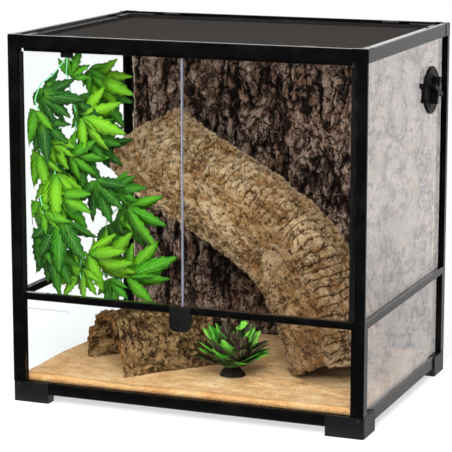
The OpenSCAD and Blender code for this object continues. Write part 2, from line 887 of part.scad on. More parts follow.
// A half round of cork lying on the sand: rings of an arch along a line.
hide_left = [-185, -125, 38];
hide_right = [-62, 15, 36];
hide_r = [80, 68];
hide_wall = 12;
hide_rise = 1.28;

function hide_dir() = unit(hide_right - hide_left);
function hide_cross() = unit([-hide_dir()[1], hide_dir()[0], 0]);
function hide_arch(t, r, n) = [
  for (j = [0:n])
    let (a = 180 * j / n, bump = 1 + 0.06 * waver(4 * a + 200 * t, 7 * a - 300 * t, 2 * a))
      hide_left + t * (hide_right - hide_left) + r * bump * (cos(a) * hide_cross() + sin(a) * [0, 0, hide_rise])
];
function hide_ring(t, n) =
  let (r = hide_r[0] + (hide_r[1] - hide_r[0]) * t, inner = hide_arch(t, r - hide_wall, n))
    concat(hide_arch(t, r, n), [for (j = [n:-1:0]) inner[j]]);

module hide_body() {
  rings = 8;
  n = 14;
  arch_loft([for (i = [0:rings]) hide_ring(i / rings, n)]);
}

module cork_hide() {
  color("#8c6134") hide_body();
}

// A leaf blade: pointed at both ends, widest near its middle, as a flat outline along +X.
module leaf_blade(length, w) {
  polygon([[0, 0.4], [0.36 * length, w / 2], [length, 0], [0.36 * length, -w / 2], [0, -0.4]]);
}

leaf_t = 1.2;

// A hand of five blades on a short stalk that starts at the origin and points along +X.
module leaf_hand(size, spread) {
  stalk = 0.12 * size;
  linear_extrude(leaf_t) {
    span([-2, stalk + 2], [-1.2, 1.2]);
    for (k = [-2:2])
      translate([stalk, 0]) rotate(spread * k) leaf_blade(size * (1 - 0.15 * abs(k)), size * 0.26);
  }
}

// Three strands of the vine hang from a hook on the front lip, near the left pane. Each hand of leaves
// is [x, y, z, direction of its middle blade from +X towards +Z, size, angle between blades].
vine_hook = [-207, -206, 578];
vine_r = 2;
vine_strands = [
  [
    [-218, -185, 536, 60, 50, 34], [-206, -180, 478, -20, 85, 36], [-224, -150, 427, -75, 80, 30],
    [-241, -190, 390, -80, 80, 25], [-228, -200, 319, -85, 95, 30], [-256, -180, 264, -75, 80, 22],
    [-201, -170, 250, -30, 80, 34], [-201, -180, 205, 160, 60, 34]
  ],
  [
    [-193, -150, 552, -14, 42, 34], [-188, -120, 521, 0, 80, 34], [-231, -80, 467, -60, 80, 34],
    [-189, -150, 375, -70, 80, 30], [-153, -120, 326, -50, 90, 30], [-191, -100, 290, -60, 70, 34],
    [-186, -150, 215, 50, 75, 36], [-152, -130, 198, 20, 90, 30]
  ],
  [
    [-262, -195, 528, -10, 70, 30], [-278, -208, 497, 40, 55, 25], [-245, -190, 462, -72, 75, 30],
    [-270, -205, 428, -60, 60, 25], [-258, -110, 393, -70, 70, 25], [-275, -208, 349, -50, 60, 25],
    [-272, -206, 296, -55, 60, 25]
  ]
];

// A round rod between two points.
module rod(a, b, r) {
  d = b - a;
  length = norm(d);
  translate(a) rotate([0, acos(d[2] / length), atan2(d[1], d[0])]) cylinder(h = length, r = r, $fn = 6);
}

function place(hand) = [hand[0], hand[1], hand[2]];

module hanging_vine() {
  color("#3f9a2c") resize([0, 0, 0]) {
    for (strand = vine_strands) {
      rod(vine_hook, place(strand[0]), vine_r);
      for (k = [1:len(strand) - 1]) rod(place(strand[k - 1]), place(strand[k]), vine_r);
      for (hand = strand) {
        translate(place(hand)) sphere(r = vine_r + 0.6, $fn = 8);
        translate(place(hand)) rotate([90, -hand[3], 0]) leaf_hand(hand[4], hand[5]);
      }
    }
    block([vine_hook[0] - 12, vine_hook[0] + 12], [-flange_in(half_d), vine_hook[1] + 4],
          [vine_hook[2] - 3, lip_z + 4]);
  }
}

// A rosette of blades on a flat stone.
plant_at = [34, -96];
plant_z = sand_z(plant_at[0], plant_at[1]) - 2;
stone_r = 24;
// The bud that the blades grow out of.
plant_heart_r = 10;
// Each ring of blades: how many, their length, their lean from upright and their first turn.
plant_rings = [[8, 72, 62, 10], [6, 78, 40, 33], [4, 78, 16, 50]];

module plant_stone() {
  translate([plant_at[0], plant_at[1], plant_z]) intersection() {
    translate([0, 0, -8]) sphere(r = stone_r, $fn = 20);
    block([-stone_r, stone_r], [-stone_r, stone_r], [0, stone_r]);
  }
}

module small_plant() {
  color("#3d8f3a") resize([0, 0, 0]) {
    plant_stone();
    translate([plant_at[0], plant_at[1], plant_z + 14]) {
      sphere(r = plant_heart_r, $fn = 16);
      for (ring = plant_rings, i = [0:ring[0] - 1])
        rotate([0, 0, 360 * i / ring[0] + ring[3]]) translate([3, 0, 0]) rotate([0, -90 + ring[2], 0])
          translate([0, 0, -0.7]) linear_extrude(1.4) leaf_blade(ring[1], 18);
    }
  }
}

foot(-1, -1);  // foot_front_left
foot(1, -1);  // foot_front_right
foot(-1, 1);  // foot_rear_left
foot(1, 1);  // foot_rear_right
bottom_rail_x(-1);  // bottom_rail_front
bottom_rail_x(1);  // bottom_rail_rear
bottom_rail_y(-1);  // bottom_rail_left
bottom_rail_y(1);  // bottom_rail_right
lower_post(-1, -1);  // lower_post_front_left
lower_post(1, -1);  // lower_post_front_right
lower_post(-1, 1);  // lower_post_rear_left
lower_post(1, 1);  // lower_post_rear_right
mid_rail_front();
mid_rail_rear();
mid_rail_side(-1);  // mid_rail_left
mid_rail_side(1);  // mid_rail_right
upper_post(-1, -1);  // upper_post_front_left
upper_post(1, -1);  // upper_post_front_right
upper_post(-1, 1);  // upper_post_rear_left
upper_post(1, 1);  // upper_post_rear_right
top_rail_front();
top_rail_rear();
top_rail_side(-1);  // top_rail_left
top_rail_side(1);  // top_rail_right
top_corner_caps();
frame_screws();
base_pan();
lower_pane_x(-1);  // lower_pane_front
lower_pane_x(1);  // lower_pane_rear
lower_pane_y(-1);  // lower_pane_left
lower_pane_y(1);  // lower_pane_right
upper_pane_rear();
upper_pane_side(-1);  // upper_pane_left
upper_pane_right();
door_glass_left();
door_glass_right();
door_hinge_strip(-1);  // door_hinge_strip_left
door_hinge_strip(1);  // door_hinge_strip_right
door_edge_seal();
latch_housing();
lock_cylinder();
lock_bolt();
screen_frame();
screen_corners();
screen_mesh();
screen_latch(-1, -1);  // screen_latch_front_left
screen_latch(1, -1);  // screen_latch_front_right
screen_latch(-1, 1);  // screen_latch_rear_left
screen_latch(1, 1);  // screen_latch_rear_right
vent_flange();
vent_ring_nut();
vent_cap();
background_panel();
sand_bed();
cork_log();
cork_hide();
hanging_vine();
small_plant();
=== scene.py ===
"""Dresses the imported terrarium: bark wall, sand, cork, leaves, woven screen, glass, plastics and light.

A size that is multiplied by MM is in metres, and so are the places in finishes and the studio. The other
sizes and places of the pieces are in mm.
"""

import logging
import math
import random
from dataclasses import dataclass
from enum import Enum, unique
from functools import partial
from typing import Callable, Iterable, Sequence

import bmesh
import bpy
import numpy as np
from mathutils import Euler, Matrix, Vector


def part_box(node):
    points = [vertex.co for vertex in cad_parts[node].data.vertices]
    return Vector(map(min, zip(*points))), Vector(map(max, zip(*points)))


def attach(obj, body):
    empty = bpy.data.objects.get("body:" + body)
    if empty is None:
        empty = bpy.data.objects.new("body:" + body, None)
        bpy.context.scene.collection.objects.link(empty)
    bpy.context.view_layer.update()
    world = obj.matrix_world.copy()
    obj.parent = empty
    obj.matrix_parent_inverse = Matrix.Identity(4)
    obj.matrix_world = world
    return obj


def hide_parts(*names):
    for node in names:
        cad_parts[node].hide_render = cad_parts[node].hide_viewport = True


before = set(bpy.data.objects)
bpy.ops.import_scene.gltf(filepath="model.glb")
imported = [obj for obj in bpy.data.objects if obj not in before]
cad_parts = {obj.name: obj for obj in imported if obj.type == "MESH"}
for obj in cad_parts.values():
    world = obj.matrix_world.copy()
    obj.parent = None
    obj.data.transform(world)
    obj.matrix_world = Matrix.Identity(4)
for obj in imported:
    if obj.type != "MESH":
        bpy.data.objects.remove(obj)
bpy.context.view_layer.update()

LOG = logging.getLogger("terrarium")
MM = 0.001  # A millimetre in metres.

Colour = tuple[float, float, float, float]
Point = tuple[float, float, float]
Span = tuple[float, float]


def hue(code: str) -> Colour:
    """A display colour such as "#8a6f4c" as a linear one.

    Args:
        code: The display colour.

    Returns:
        The linear colour, opaque.
    """
    parts = [int(code[i : i + 2], 16) / 255 for i in (1, 3, 5)]
    linear = [c / 12.92 if c <= 0.04045 else ((c + 0.055) / 1.055) ** 2.4 for c in parts]
    return (*linear, 1.0)


# ---------------------------------------------------------------- node trees


def math_operator(operation: str, swapped: bool = False) -> Callable[..., "Val"]:
    """Makes one of the operators of Val.

    Args:
        operation: The Math node's operation.
        swapped: Whether the value stands to the right of the operator.

    Returns:
        The method, which adds the node.
    """

    def method(value: "Val", *others: object) -> "Val":
        """Adds the Math node and returns its result."""
        terms = (*others, value) if swapped else (value, *others)
        return value.tree.out("ShaderNodeMath", {"operation": operation}, dict(enumerate(terms)))

    return method


class Val:
    """A socket of a node tree. Used in an expression, it adds the Math nodes for it."""

    def __init__(self, tree: "Tree", socket: bpy.types.NodeSocket) -> None:
        """Wraps a socket of a tree."""
        self.tree = tree
        self.socket = socket

    __add__ = math_operator("ADD")
    __radd__ = math_operator("ADD", swapped=True)
    __sub__ = math_operator("SUBTRACT")
    __rsub__ = math_operator("SUBTRACT", swapped=True)
    __mul__ = math_operator("MULTIPLY")
    __rmul__ = math_operator("MULTIPLY", swapped=True)
    __pow__ = math_operator("POWER")
    __abs__ = math_operator("ABSOLUTE")
    sine = math_operator("SINE")

    def rise(self, low: float, high: float) -> "Val":
        """A soft step.

        Args:
            low: Where the result is still 0.
            high: Where it reaches 1; if this is below low, it falls from 1 to 0 instead.

        Returns:
            The step's result.
        """
        return self.tree.out(
            "ShaderNodeMapRange",
            {"interpolation_type": "SMOOTHSTEP"},
            {"Value": self, "From Min": low, "From Max": high},
        )


class Tree:
    """A node tree that is built by calls: one method adds every node."""

    def __init__(self, tree: bpy.types.NodeTree) -> None:
        """Wraps a node tree."""
        self.tree = tree

    @staticmethod
    def find(sockets: Iterable[bpy.types.NodeSocket], key: int | str) -> bpy.types.NodeSocket:
        """Finds a socket among those that the node's settings leave in use.

        Args:
            sockets: The node's inputs or outputs.
            key: The socket's place, identifier or name.

        Returns:
            The socket.
        """
        if isinstance(key, int):
            return list(sockets)[key]
        for socket in sockets:
            if socket.enabled and key in (socket.identifier, socket.name):
                return socket
        raise KeyError(key)

    def add(
        self,
        kind: str,
        settings: dict[str, object] | None = None,
        sockets: dict[int | str, object] | None = None,
    ) -> bpy.types.Node:
        """Adds a node.

        Args:
            kind: The node's type.
            settings: Its properties, set first; "stops" gives a ramp's (place, colour) pairs.
            sockets: Values or links for its inputs, by place or name.

        Returns:
            The new node.
        """
        node = self.tree.nodes.new(kind)
        for name, value in (settings or {}).items():
            if name == "stops":
                ramp = node.color_ramp
                while len(ramp.elements) < len(value):
                    ramp.elements.new(1.0)
                for element, (place, colour) in zip(ramp.elements, value):
                    element.position = place
                    element.color = colour
            else:
                setattr(node, name, value)
        for key, value in (sockets or {}).items():
            socket = self.find(node.inputs, key)
            if isinstance(value, Val):
                self.tree.links.new(value.socket, socket)
            else:
                socket.default_value = value
        return node

    def out(
        self,
        kind: str,
        settings: dict[str, object] | None = None,
        sockets: dict[int | str, object] | None = None,
        result: int | str = 0,
    ) -> Val:
        """Adds a node and takes one of its outputs.

        Args:
            kind: The node's type.
            settings: As for add.
            sockets: As for add.
            result: The output's place among those in use, or its name.

        Returns:
            The output.
        """
        node = self.add(kind, settings, sockets)
        if isinstance(result, int):
            result = [s.identifier for s in node.outputs if s.enabled][result]
        return Val(self, self.find(node.outputs, result))

    def vector(self, operation: str, *values: object) -> Val:
        """The result of a Vector Math node."""
        return self.out("ShaderNodeVectorMath", {"operation": operation}, dict(enumerate(values)))

    def stretched(self, where: Val, *scales: float) -> Val:
        """A place with each of its three parts scaled."""
        return self.vector("MULTIPLY", where, scales)

    def part(self, where: Val, axis: str) -> Val:
        """One part of a place: "X", "Y" or "Z"."""
        return self.out("ShaderNodeSeparateXYZ", {}, {0: where}, axis)

    def rays(self, *kinds: str) -> list[Val]:
        """Whether the ray is of each of the Light Path node's kinds."""
        path = self.add("ShaderNodeLightPath")
        return [Val(self, path.outputs[kind]) for kind in kinds]

    def noise(
        self, where: Val, scale: float, detail: float = 3, rough: float = 0.5, result: int | str = 0
    ) -> Val:
        """Noise at a place.

        Args:
            where: The place.
            scale: Waves per metre.
            detail: How many finer waves lie on the first.
            rough: How strong the finer waves are.
            result: 0 for a number from about 0.2 to 0.8, or "Color" for three at once.

        Returns:
            The noise.
        """
        sockets = {"Vector": where, "Scale": scale, "Detail": detail, "Roughness": rough}
        return self.out("ShaderNodeTexNoise", {}, sockets, result)

    def crags(
        self, where: Val, scale: float, detail: float = 4, rough: float = 0.5, width: float = 0.11
    ) -> Val:
        """0 in winding clefts and 1 between them; a smaller width makes them narrower."""
        return abs(self.noise(where, scale, detail, rough) - 0.5).rise(0.0, width)

    def cells(self, where: Val, *scales: float) -> Val:
        """How far a place is from the middle of its Voronoi cell, with this many cells per metre."""
        sockets = {"Vector": self.stretched(where, *scales), "Scale": 1.0}
        return self.out("ShaderNodeTexVoronoi", {"feature": "F1"}, sockets, "Distance")

    def warped(self, where: Val, scale: float, reach: float) -> Val:
        """Moves a place about by soft noise.

        Args:
            where: The place.
            scale: The noise's waves per metre.
            reach: About the furthest that it moves, in metres.

        Returns:
            The moved place.
        """
        push = self.vector("SUBTRACT", self.noise(where, scale, 2, 0.5, "Color"), (0.5, 0.5, 0.5))
        return self.vector("ADD", where, self.stretched(push, *(2 * reach,) * 3))

    def mix(self, share: object, low: object, high: object, blend: str = "MIX") -> Val:
        """Mixes two colours.

        Args:
            share: How much of the second there is, from 0 to 1.
            low: The first colour.
            high: The second colour.
            blend: How the second is laid on the first.

        Returns:
            The mix.
        """
        return self.out(
            "ShaderNodeMix",
            {"data_type": "RGBA", "blend_type": blend},
            {"Factor": share, "A": low, "B": high},
        )

    def ramp(self, value: Val, *stops: tuple[float, str]) -> Val:
        """A colour read from stops of a place from 0 to 1 and a display colour."""
        return self.out("ShaderNodeValToRGB", {"stops": [(p, hue(code)) for p, code in stops]}, {0: value})


class Shader(Tree):
    """A material that is written as expressions."""

    def __init__(self, name: str) -> None:
        """Starts an empty material that reads its object's own places.

        Args:
            name: The material's name.
        """
        self.material = bpy.data.materials.new(name)
        self.material.use_nodes = True
        super().__init__(self.material.node_tree)
        self.tree.nodes.clear()
        self.where = self.out("ShaderNodeTexCoord", result="Object")

    def attribute(self, name: str, result: str = "Fac") -> Val:
        """A number stored on the mesh, or a place with result "Vector"."""
        return self.out("ShaderNodeAttribute", {"attribute_name": name}, result=result)

    def bump(self, height: Val, depth: float, strength: float = 1.0) -> Val:
        """A normal that is bent by a height of 0 to 1 over depth metres."""
        return self.out("ShaderNodeBump", {}, {"Strength": strength, "Distance": depth, "Height": height})

    def principled(self, **sockets: object) -> Val:
        """A Principled surface. An underscore in a name stands for a space."""
        named = {key.replace("_", " "): value for key, value in sockets.items()}
        return self.out("ShaderNodeBsdfPrincipled", {}, named)

    def clear(self, tint: str) -> Val:
        """A surface that lets everything through, a little tinted."""
        return self.out("ShaderNodeBsdfTransparent", {}, {"Color": hue(tint)})

    def blend(self, share: object, low: Val, high: Val) -> Val:
        """A mix of two surfaces."""
        return self.out("ShaderNodeMixShader", {}, {0: share, 1: low, 2: high})

    def finish(self, surface: Val) -> bpy.types.Material:
        """Puts the surface on the output and returns the material."""
        self.add("ShaderNodeOutputMaterial", {}, {"Surface": surface})
        return self.material


class Builder(Tree):
    """A Geometry Nodes tree that makes one plain mesh."""

    def __init__(self, name: str, **inputs: object) -> None:
        """Starts a tree.

        Args:
            name: The tree's name.
            **inputs: Its named inputs besides the geometry, with their values.
        """
        group = bpy.data.node_groups.new(name, "GeometryNodeTree")
        super().__init__(group)
        group.interface.new_socket("Geometry", in_out="INPUT", socket_type="NodeSocketGeometry")
        group.interface.new_socket("Geometry", in_out="OUTPUT", socket_type="NodeSocketGeometry")
        self.keys: dict[str, str] = {}
        self.values = inputs
        for label, value in inputs.items():
            kind = "NodeSocketFloat" if isinstance(value, float) else "NodeSocketObject"
            socket = group.interface.new_socket(label, in_out="INPUT", socket_type=kind)
            self.keys[label] = socket.identifier
        self.group_input = self.add("NodeGroupInput")

    def given(self, label: str) -> Val:
        """One of the tree's inputs."""
        return Val(self, self.find(self.group_input.outputs, label))

    def position(self) -> Val:
        """The place of each point."""
        return self.out("GeometryNodeInputPosition")

    def named(self, name: str, kind: str = "FLOAT") -> Val:
        """An attribute of each point."""
        return self.out("GeometryNodeInputNamedAttribute", {"data_type": kind}, {"Name": name})

    def combined(self, **parts: Val) -> Val:
        """A vector from its parts X, Y and Z; a part that isn't given is 0."""
        return self.out("ShaderNodeCombineXYZ", {}, parts)

    def moved(self, **move: Val) -> Val:
        """The tree's geometry with its points moved, to a Position or by an Offset."""
        return self.out("GeometryNodeSetPosition", {}, {"Geometry": self.given("Geometry"), **move})

    def tube(self, line: Val, ring: Val) -> Val:
        """A closed tube along a line, with a ring as its section."""
        sockets = {"Curve": line, "Profile Curve": ring, "Fill Caps": True}
        return self.out("GeometryNodeCurveToMesh", {}, sockets)

    def ring(self, sides: int, radius: Val) -> Val:
        """A regular outline with some sides."""
        return self.out("GeometryNodeCurvePrimitiveCircle", {}, {"Resolution": sides, "Radius": radius})

    def run(
        self,
        source: bpy.types.Mesh,
        name: str,
        material: bpy.types.Material,
        shape: Val,
        smooth: bool = True,
    ) -> bpy.types.Object:
        """Ends the tree and turns what it makes into a plain mesh.

        Args:
            source: The mesh that goes into the tree.
            name: The new piece's name.
            material: Its finish.
            shape: The tree's last geometry.
            smooth: Whether its faces shade smoothly.

        Returns:
            The new piece, with no modifier on it.
        """
        whole = self.out("GeometryNodeRealizeInstances", {}, {"Geometry": shape})
        whole = self.out("GeometryNodeSetShadeSmooth", {}, {"Geometry": whole, "Shade Smooth": smooth})
        dressed = self.out("GeometryNodeSetMaterial", {}, {"Geometry": whole, "Material": material})
        self.add("NodeGroupOutput", {}, {"Geometry": dressed})
        holder = shown(name + "_source", source)
        modifier = holder.modifiers.new(name, "NODES")
        modifier.node_group = self.tree
        for label, value in self.values.items():
            modifier[self.keys[label]] = value
        return shown(name, evaluated(holder))


# ---------------------------------------------------------------- mesh helpers


def shown(name: str, data: bpy.types.ID) -> bpy.types.Object:
    """Puts data into the scene at the origin.

    Args:
        name: The new object's name.
        data: Its mesh, camera or lamp.

    Returns:
        The new object.
    """
    holder = bpy.data.objects.new(name, data)
    bpy.context.scene.collection.objects.link(holder)
    return holder


def evaluated(holder: bpy.types.Object) -> bpy.types.Mesh:
    """Takes what an object's modifiers make of its mesh, and removes the object.

    Args:
        holder: The object.

    Returns:
        A plain mesh.
    """
    graph = bpy.context.evaluated_depsgraph_get()
    mesh = bpy.data.meshes.new_from_object(holder.evaluated_get(graph))
    bpy.data.objects.remove(holder)
    return mesh


def new_mesh(name: str, points: Iterable[Point], faces: Iterable[Sequence[int]]) -> bpy.types.Mesh:
    """Makes a mesh.

    Args:
        name: Its name.
        points: Its points in metres.
        faces: Its faces, as places in the list of points.

    Returns:
        The mesh.
    """
    mesh = bpy.data.meshes.new(name)
    mesh.from_pydata([tuple(p) for p in points], [], [tuple(f) for f in faces])
    mesh.update()
    return mesh


def ring_faces(rings: int, sides: int) -> list[tuple[int, ...]]:
    """Joins rings of points, which follow one another, into the faces of a tube.

    Args:
        rings: How many rings there are.
        sides: How many points each of them has.

    Returns:
        The faces, as places in the list of points.
    """
    faces = []
    for start in range(0, (rings - 1) * sides, sides):
        for k in range(sides):
            a, b = start + k, start + (k + 1) % sides
            faces.append((a, b, b + sides, a + sides))
    return faces


def shaped_mesh(name: str, shape: bmesh.types.BMesh) -> bpy.types.Mesh:
    """Makes a mesh from a bmesh, which it frees.

    Args:
        name: The mesh's name.
        shape: The bmesh.

    Returns:
        The mesh.
    """
    mesh = bpy.data.meshes.new(name)
    shape.to_mesh(mesh)
    shape.free()
    return mesh


def turned_outwards(mesh: bpy.types.Mesh, near: float = 0.0) -> bpy.types.Mesh:
    """Turns the faces of a closed mesh outwards.

    Args:
        mesh: The mesh.
        near: Points that are nearer than this are merged first, unless it is 0.

    Returns:
        The same mesh.
    """
    shape = bmesh.new()
    shape.from_mesh(mesh)
    if near:
        bmesh.ops.remove_doubles(shape, verts=shape.verts, dist=near)
    bmesh.ops.recalc_face_normals(shape, faces=shape.faces)
    shape.to_mesh(mesh)
    shape.free()
    return mesh


def point_rows(mesh: bpy.types.Mesh, field: str = "co") -> np.ndarray:
    """Reads a vector of each point.

    Args:
        mesh: The mesh.
        field: "co" for the places or "normal" for the normals.

    Returns:
        One row for each point.
    """
    values = np.empty(len(mesh.vertices) * 3)
    mesh.vertices.foreach_get(field, values)
    return values.reshape(-1, 3)


def store(mesh: bpy.types.Mesh, label: str, values: Sequence[float], kind: str = "FLOAT") -> None:
    """Stores an attribute on the points of a mesh.

    Args:
        mesh: The mesh.
        label: The attribute's name.
        values: Its numbers, one after another.
        kind: "FLOAT", or "FLOAT_VECTOR" for three numbers a point.
    """
    field = "value" if kind == "FLOAT" else "vector"
    mesh.attributes.new(label, kind, "POINT").data.foreach_set(field, values)


def remeshed(node: str, voxel: float, rounds: int) -> bpy.types.Mesh:
    """Copies a CAD node's form as an even, softened mesh of small faces.

    Args:
        node: The node's name.
        voxel: The size of the faces in metres.
        rounds: How many times it is smoothed.

    Returns:
        The new mesh.
    """
    mesh = turned_outwards(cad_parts[node].data.copy(), 1e-5)
    mesh.materials.clear()
    holder = shown("holder", mesh)
    remesh = holder.modifiers.new("remesh", "REMESH")
    remesh.mode, remesh.voxel_size = "VOXEL", voxel
    soften = holder.modifiers.new("soften", "SMOOTH")
    soften.factor, soften.iterations = 0.5, rounds
    return evaluated(holder)


def height_slab(
    name: str, grid: np.ndarray, rings: Sequence[Callable[[np.ndarray], np.ndarray]]
) -> bpy.types.Mesh:
    """Makes a closed block under a grid of points, with an attribute "face" that is 1 on the grid.

    Args:
        name: The mesh's name.
        grid: Points as an array of rows, columns and coordinates.
        rings: What turns the grid's border into each next ring of the wall; the last ring is closed by a fan.

    Returns:
        The block's mesh.
    """
    rows, columns = grid.shape[:2]
    index = np.arange(rows * columns).reshape(rows, columns)
    border = np.concatenate([index[0, :], index[1:, -1], index[-1, -2::-1], index[-2:0:-1, 0]])
    points = [grid.reshape(-1, 3)]
    corners = (index[:-1, :-1], index[1:, :-1], index[1:, 1:], index[:-1, 1:])
    faces = [tuple(quad) for quad in np.stack(corners, axis=-1).reshape(-1, 4)]
    ring, count = border, rows * columns
    edge = grid.reshape(-1, 3)[border]
    for step in rings:
        edge = step(edge.copy())
        points.append(edge)
        lower = np.arange(count, count + len(edge))
        count += len(edge)
        wall = np.stack([ring, np.roll(ring, -1), np.roll(lower, -1), lower], axis=-1)
        faces += [tuple(quad) for quad in wall]
        ring = lower
    points.append(edge.mean(axis=0)[None])
    faces += [(a, b, count) for a, b in zip(ring, np.roll(ring, -1))]
    mesh = new_mesh(name, np.concatenate(points), faces)
    store(mesh, "face", np.r_[np.ones(rows * columns), np.zeros(count + 1 - rows * columns)])
    return turned_outwards(mesh)


def curve_points(controls: Sequence[Point], steps: int) -> np.ndarray:
    """Follows the smooth curve that control points span.

    Args:
        controls: The control points in mm.
        steps: How many points to make.

    Returns:
        Points in metres, one a row.
    """
    share = np.linspace(0.0, 1.0, steps)[:, None, None]
    points = np.repeat(np.array(controls)[None] * MM, steps, axis=0)
    while points.shape[1] > 1:
        points = points[:, :-1] + (points[:, 1:] - points[:, :-1]) * share
    return points[:, 0]


def turned(degrees: float, axis: str) -> Matrix:
    """A turn about an axis."""
    return Matrix.Rotation(math.radians(degrees), 3, axis)


def kept_inside(piece: bpy.types.Object, node: str, margin: float = 2.2 * MM, give: float = 0.05) -> None:
    """Presses what pokes out of a CAD node's box almost flat against its sides, as a pane does to a leaf.

    Args:
        piece: The piece, which is changed.
        node: The node's name.
        margin: How far inside the box its sides are.
        give: The share of the poking part that stays.
    """
    low, high = (np.array(corner) + side for corner, side in zip(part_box(node), (margin, -margin)))
    spots = point_rows(piece.data)
    inside = np.clip(spots, low, high)
    piece.data.vertices.foreach_set("co", (inside + (spots - inside) * give).ravel())
    piece.data.update()


def joined(name: str, parts: Sequence[bpy.types.Object]) -> bpy.types.Object:
    """Makes several objects at the origin into one piece.

    Args:
        name: The piece's name.
        parts: The objects.

    Returns:
        The piece.
    """
    bpy.ops.object.select_all(action="DESELECT")
    for part in parts:
        part.select_set(True)
    bpy.context.view_layer.objects.active = parts[0]
    bpy.ops.object.join()
    parts[0].name = name
    return parts[0]


# ---------------------------------------------------------------- finishes


class Coating:
    """What every finish is: a surface that makes a material."""

    def surface(self, s: Shader) -> Val:
        """Writes the finish into a shader and returns its surface."""
        raise NotImplementedError

    def make(self, name: str) -> bpy.types.Material:
        """Builds the material under a name."""
        s = Shader(name)
        return s.finish(self.surface(s))


@dataclass(frozen=True)
class Moulded(Coating):
    """A moulded plastic with a fine grain and a little dust."""

    colour: str  # Its display colour.
    rough: float  # Its roughness.
    grain: float = 0.00004  # How deep the grain is, in metres.
    shine: float = 1.5  # Its index of refraction.
    coat: float = 0.0  # The weight of a clear coat all over.
    top: float = 0.0  # The weight of more coat on what faces up.

    def surface(self, s: Shader) -> Val:
        """Writes the finish into a shader.

        Args:
            s: The shader.

        Returns:
            The surface.
        """
        grain = s.noise(s.where, 1400, 4, 0.6)
        cloud = s.noise(s.where, 22, 5, 0.6)
        base = hue(self.colour)
        dusty = tuple(min(1.0, c * 1.25 + 0.002) for c in base[:3]) + (1.0,)
        upward = s.part(s.out("ShaderNodeNewGeometry", result="Normal"), "Z").rise(0.4, 0.9)
        return s.principled(
            Base_Color=s.mix(cloud.rise(0.45, 0.75), base, dusty),
            Roughness=(cloud - 0.5) * 0.18 + grain * 0.1 + (self.rough - 0.05),
            IOR=self.shine,
            Coat_Weight=upward * self.top + self.coat,
            Coat_Roughness=0.08,
            Normal=s.bump(grain, self.grain),
        )


@dataclass(frozen=True)
class Metal(Coating):
    """A plated or painted metal with a brushed grain along X."""

    colour: str  # Its display colour.
    rough: float  # Its roughness.
    metal: float = 1.0  # How much of it is bare metal, from 0 to 1.

    def surface(self, s: Shader) -> Val:
        """Writes the finish into a shader.

        Args:
            s: The shader.

        Returns:
            The surface.
        """
        brushed = s.noise(s.stretched(s.where, 40, 900, 900), 1, 4, 0.6)
        base = hue(self.colour)
        dull = tuple(c * 0.7 for c in base[:3]) + (1.0,)
        return s.principled(
            Base_Color=s.mix(brushed, dull, base),
            Roughness=brushed * 0.2 + (self.rough - 0.1),
            Metallic=self.metal,
            Normal=s.bump(brushed, 0.00003),
        )


@dataclass(frozen=True)
class Glass(Coating):
    """A clear pane with a thin film, which mirrors more the more edge-on it is seen."""

    tint: str = "#feffff"  # The colour of what is seen through it.
    veil: float = 2.5  # How soon the mirror fades as the pane turns to the eye.
    haze: float = 0.03  # The mirror's roughness.
    wiped: float = 0.0  # How much less the lower front of a pane mirrors.

    def surface(self, s: Shader) -> Val:
        """Writes the finish into a shader.

        Args:
            s: The shader.

        Returns:
            The surface.
        """
        smear = s.noise(s.warped(s.where, 6, 0.05), 14, 4, 0.6)
        facing = s.out("ShaderNodeLayerWeight", {}, {"Blend": 0.5}, "Facing")
        drawn = s.stretched(s.warped(s.where, 20, 0.02), 1, 0.36, 0.62)
        film = s.crags(drawn, 26, 5, 0.65, 0.05) * 0.4 + s.noise(drawn, 90, 6, 0.75) * 0.6
        fleck = s.noise(drawn, 55, 4, 0.7).rise(0.56, 0.64)
        pale = s.mix(film.rise(0.3, 0.75), hue("#d6d0d0"), hue("#fbf4f2"))
        pale = s.mix(fleck * 0.7, pale, hue("#fff6e6"))
        mirror = s.out("ShaderNodeBsdfGlossy", {}, {"Color": pale, "Roughness": smear * 0.04 + self.haze})
        clean = s.part(s.where, "Y").rise(0.03, -0.06) * s.part(s.where, "Z").rise(0.36, 0.26) * self.wiped
        share = (facing**self.veil + smear.rise(0.55, 0.8) * 0.006) * (1 - clean)
        return s.blend(share, s.clear(self.tint), mirror)


@dataclass(frozen=True)
class Seal(Coating):
    """A soft clear strip with a milky core."""

    colour: str  # The core's display colour.
    middle: float  # Where the core is along X, in metres.
    half: float  # Half the core's width in metres.

    def surface(self, s: Shader) -> Val:
        """Writes the finish into a shader.

        Args:
            s: The shader.

        Returns:
            The surface.
        """
        streak = s.noise(s.stretched(s.where, 60, 60, 9), 1, 4, 0.6)
        core = s.principled(
            Base_Color=s.mix(streak * 0.2, hue(self.colour), hue("#ffffff")),
            Roughness=streak * 0.2 + 0.3,
        )
        off = abs(s.part(s.where, "X") - self.middle)
        return s.blend(off.rise(self.half, self.half * 0.4) * 0.8 + 0.04, s.clear("#f4f8f6"), core)


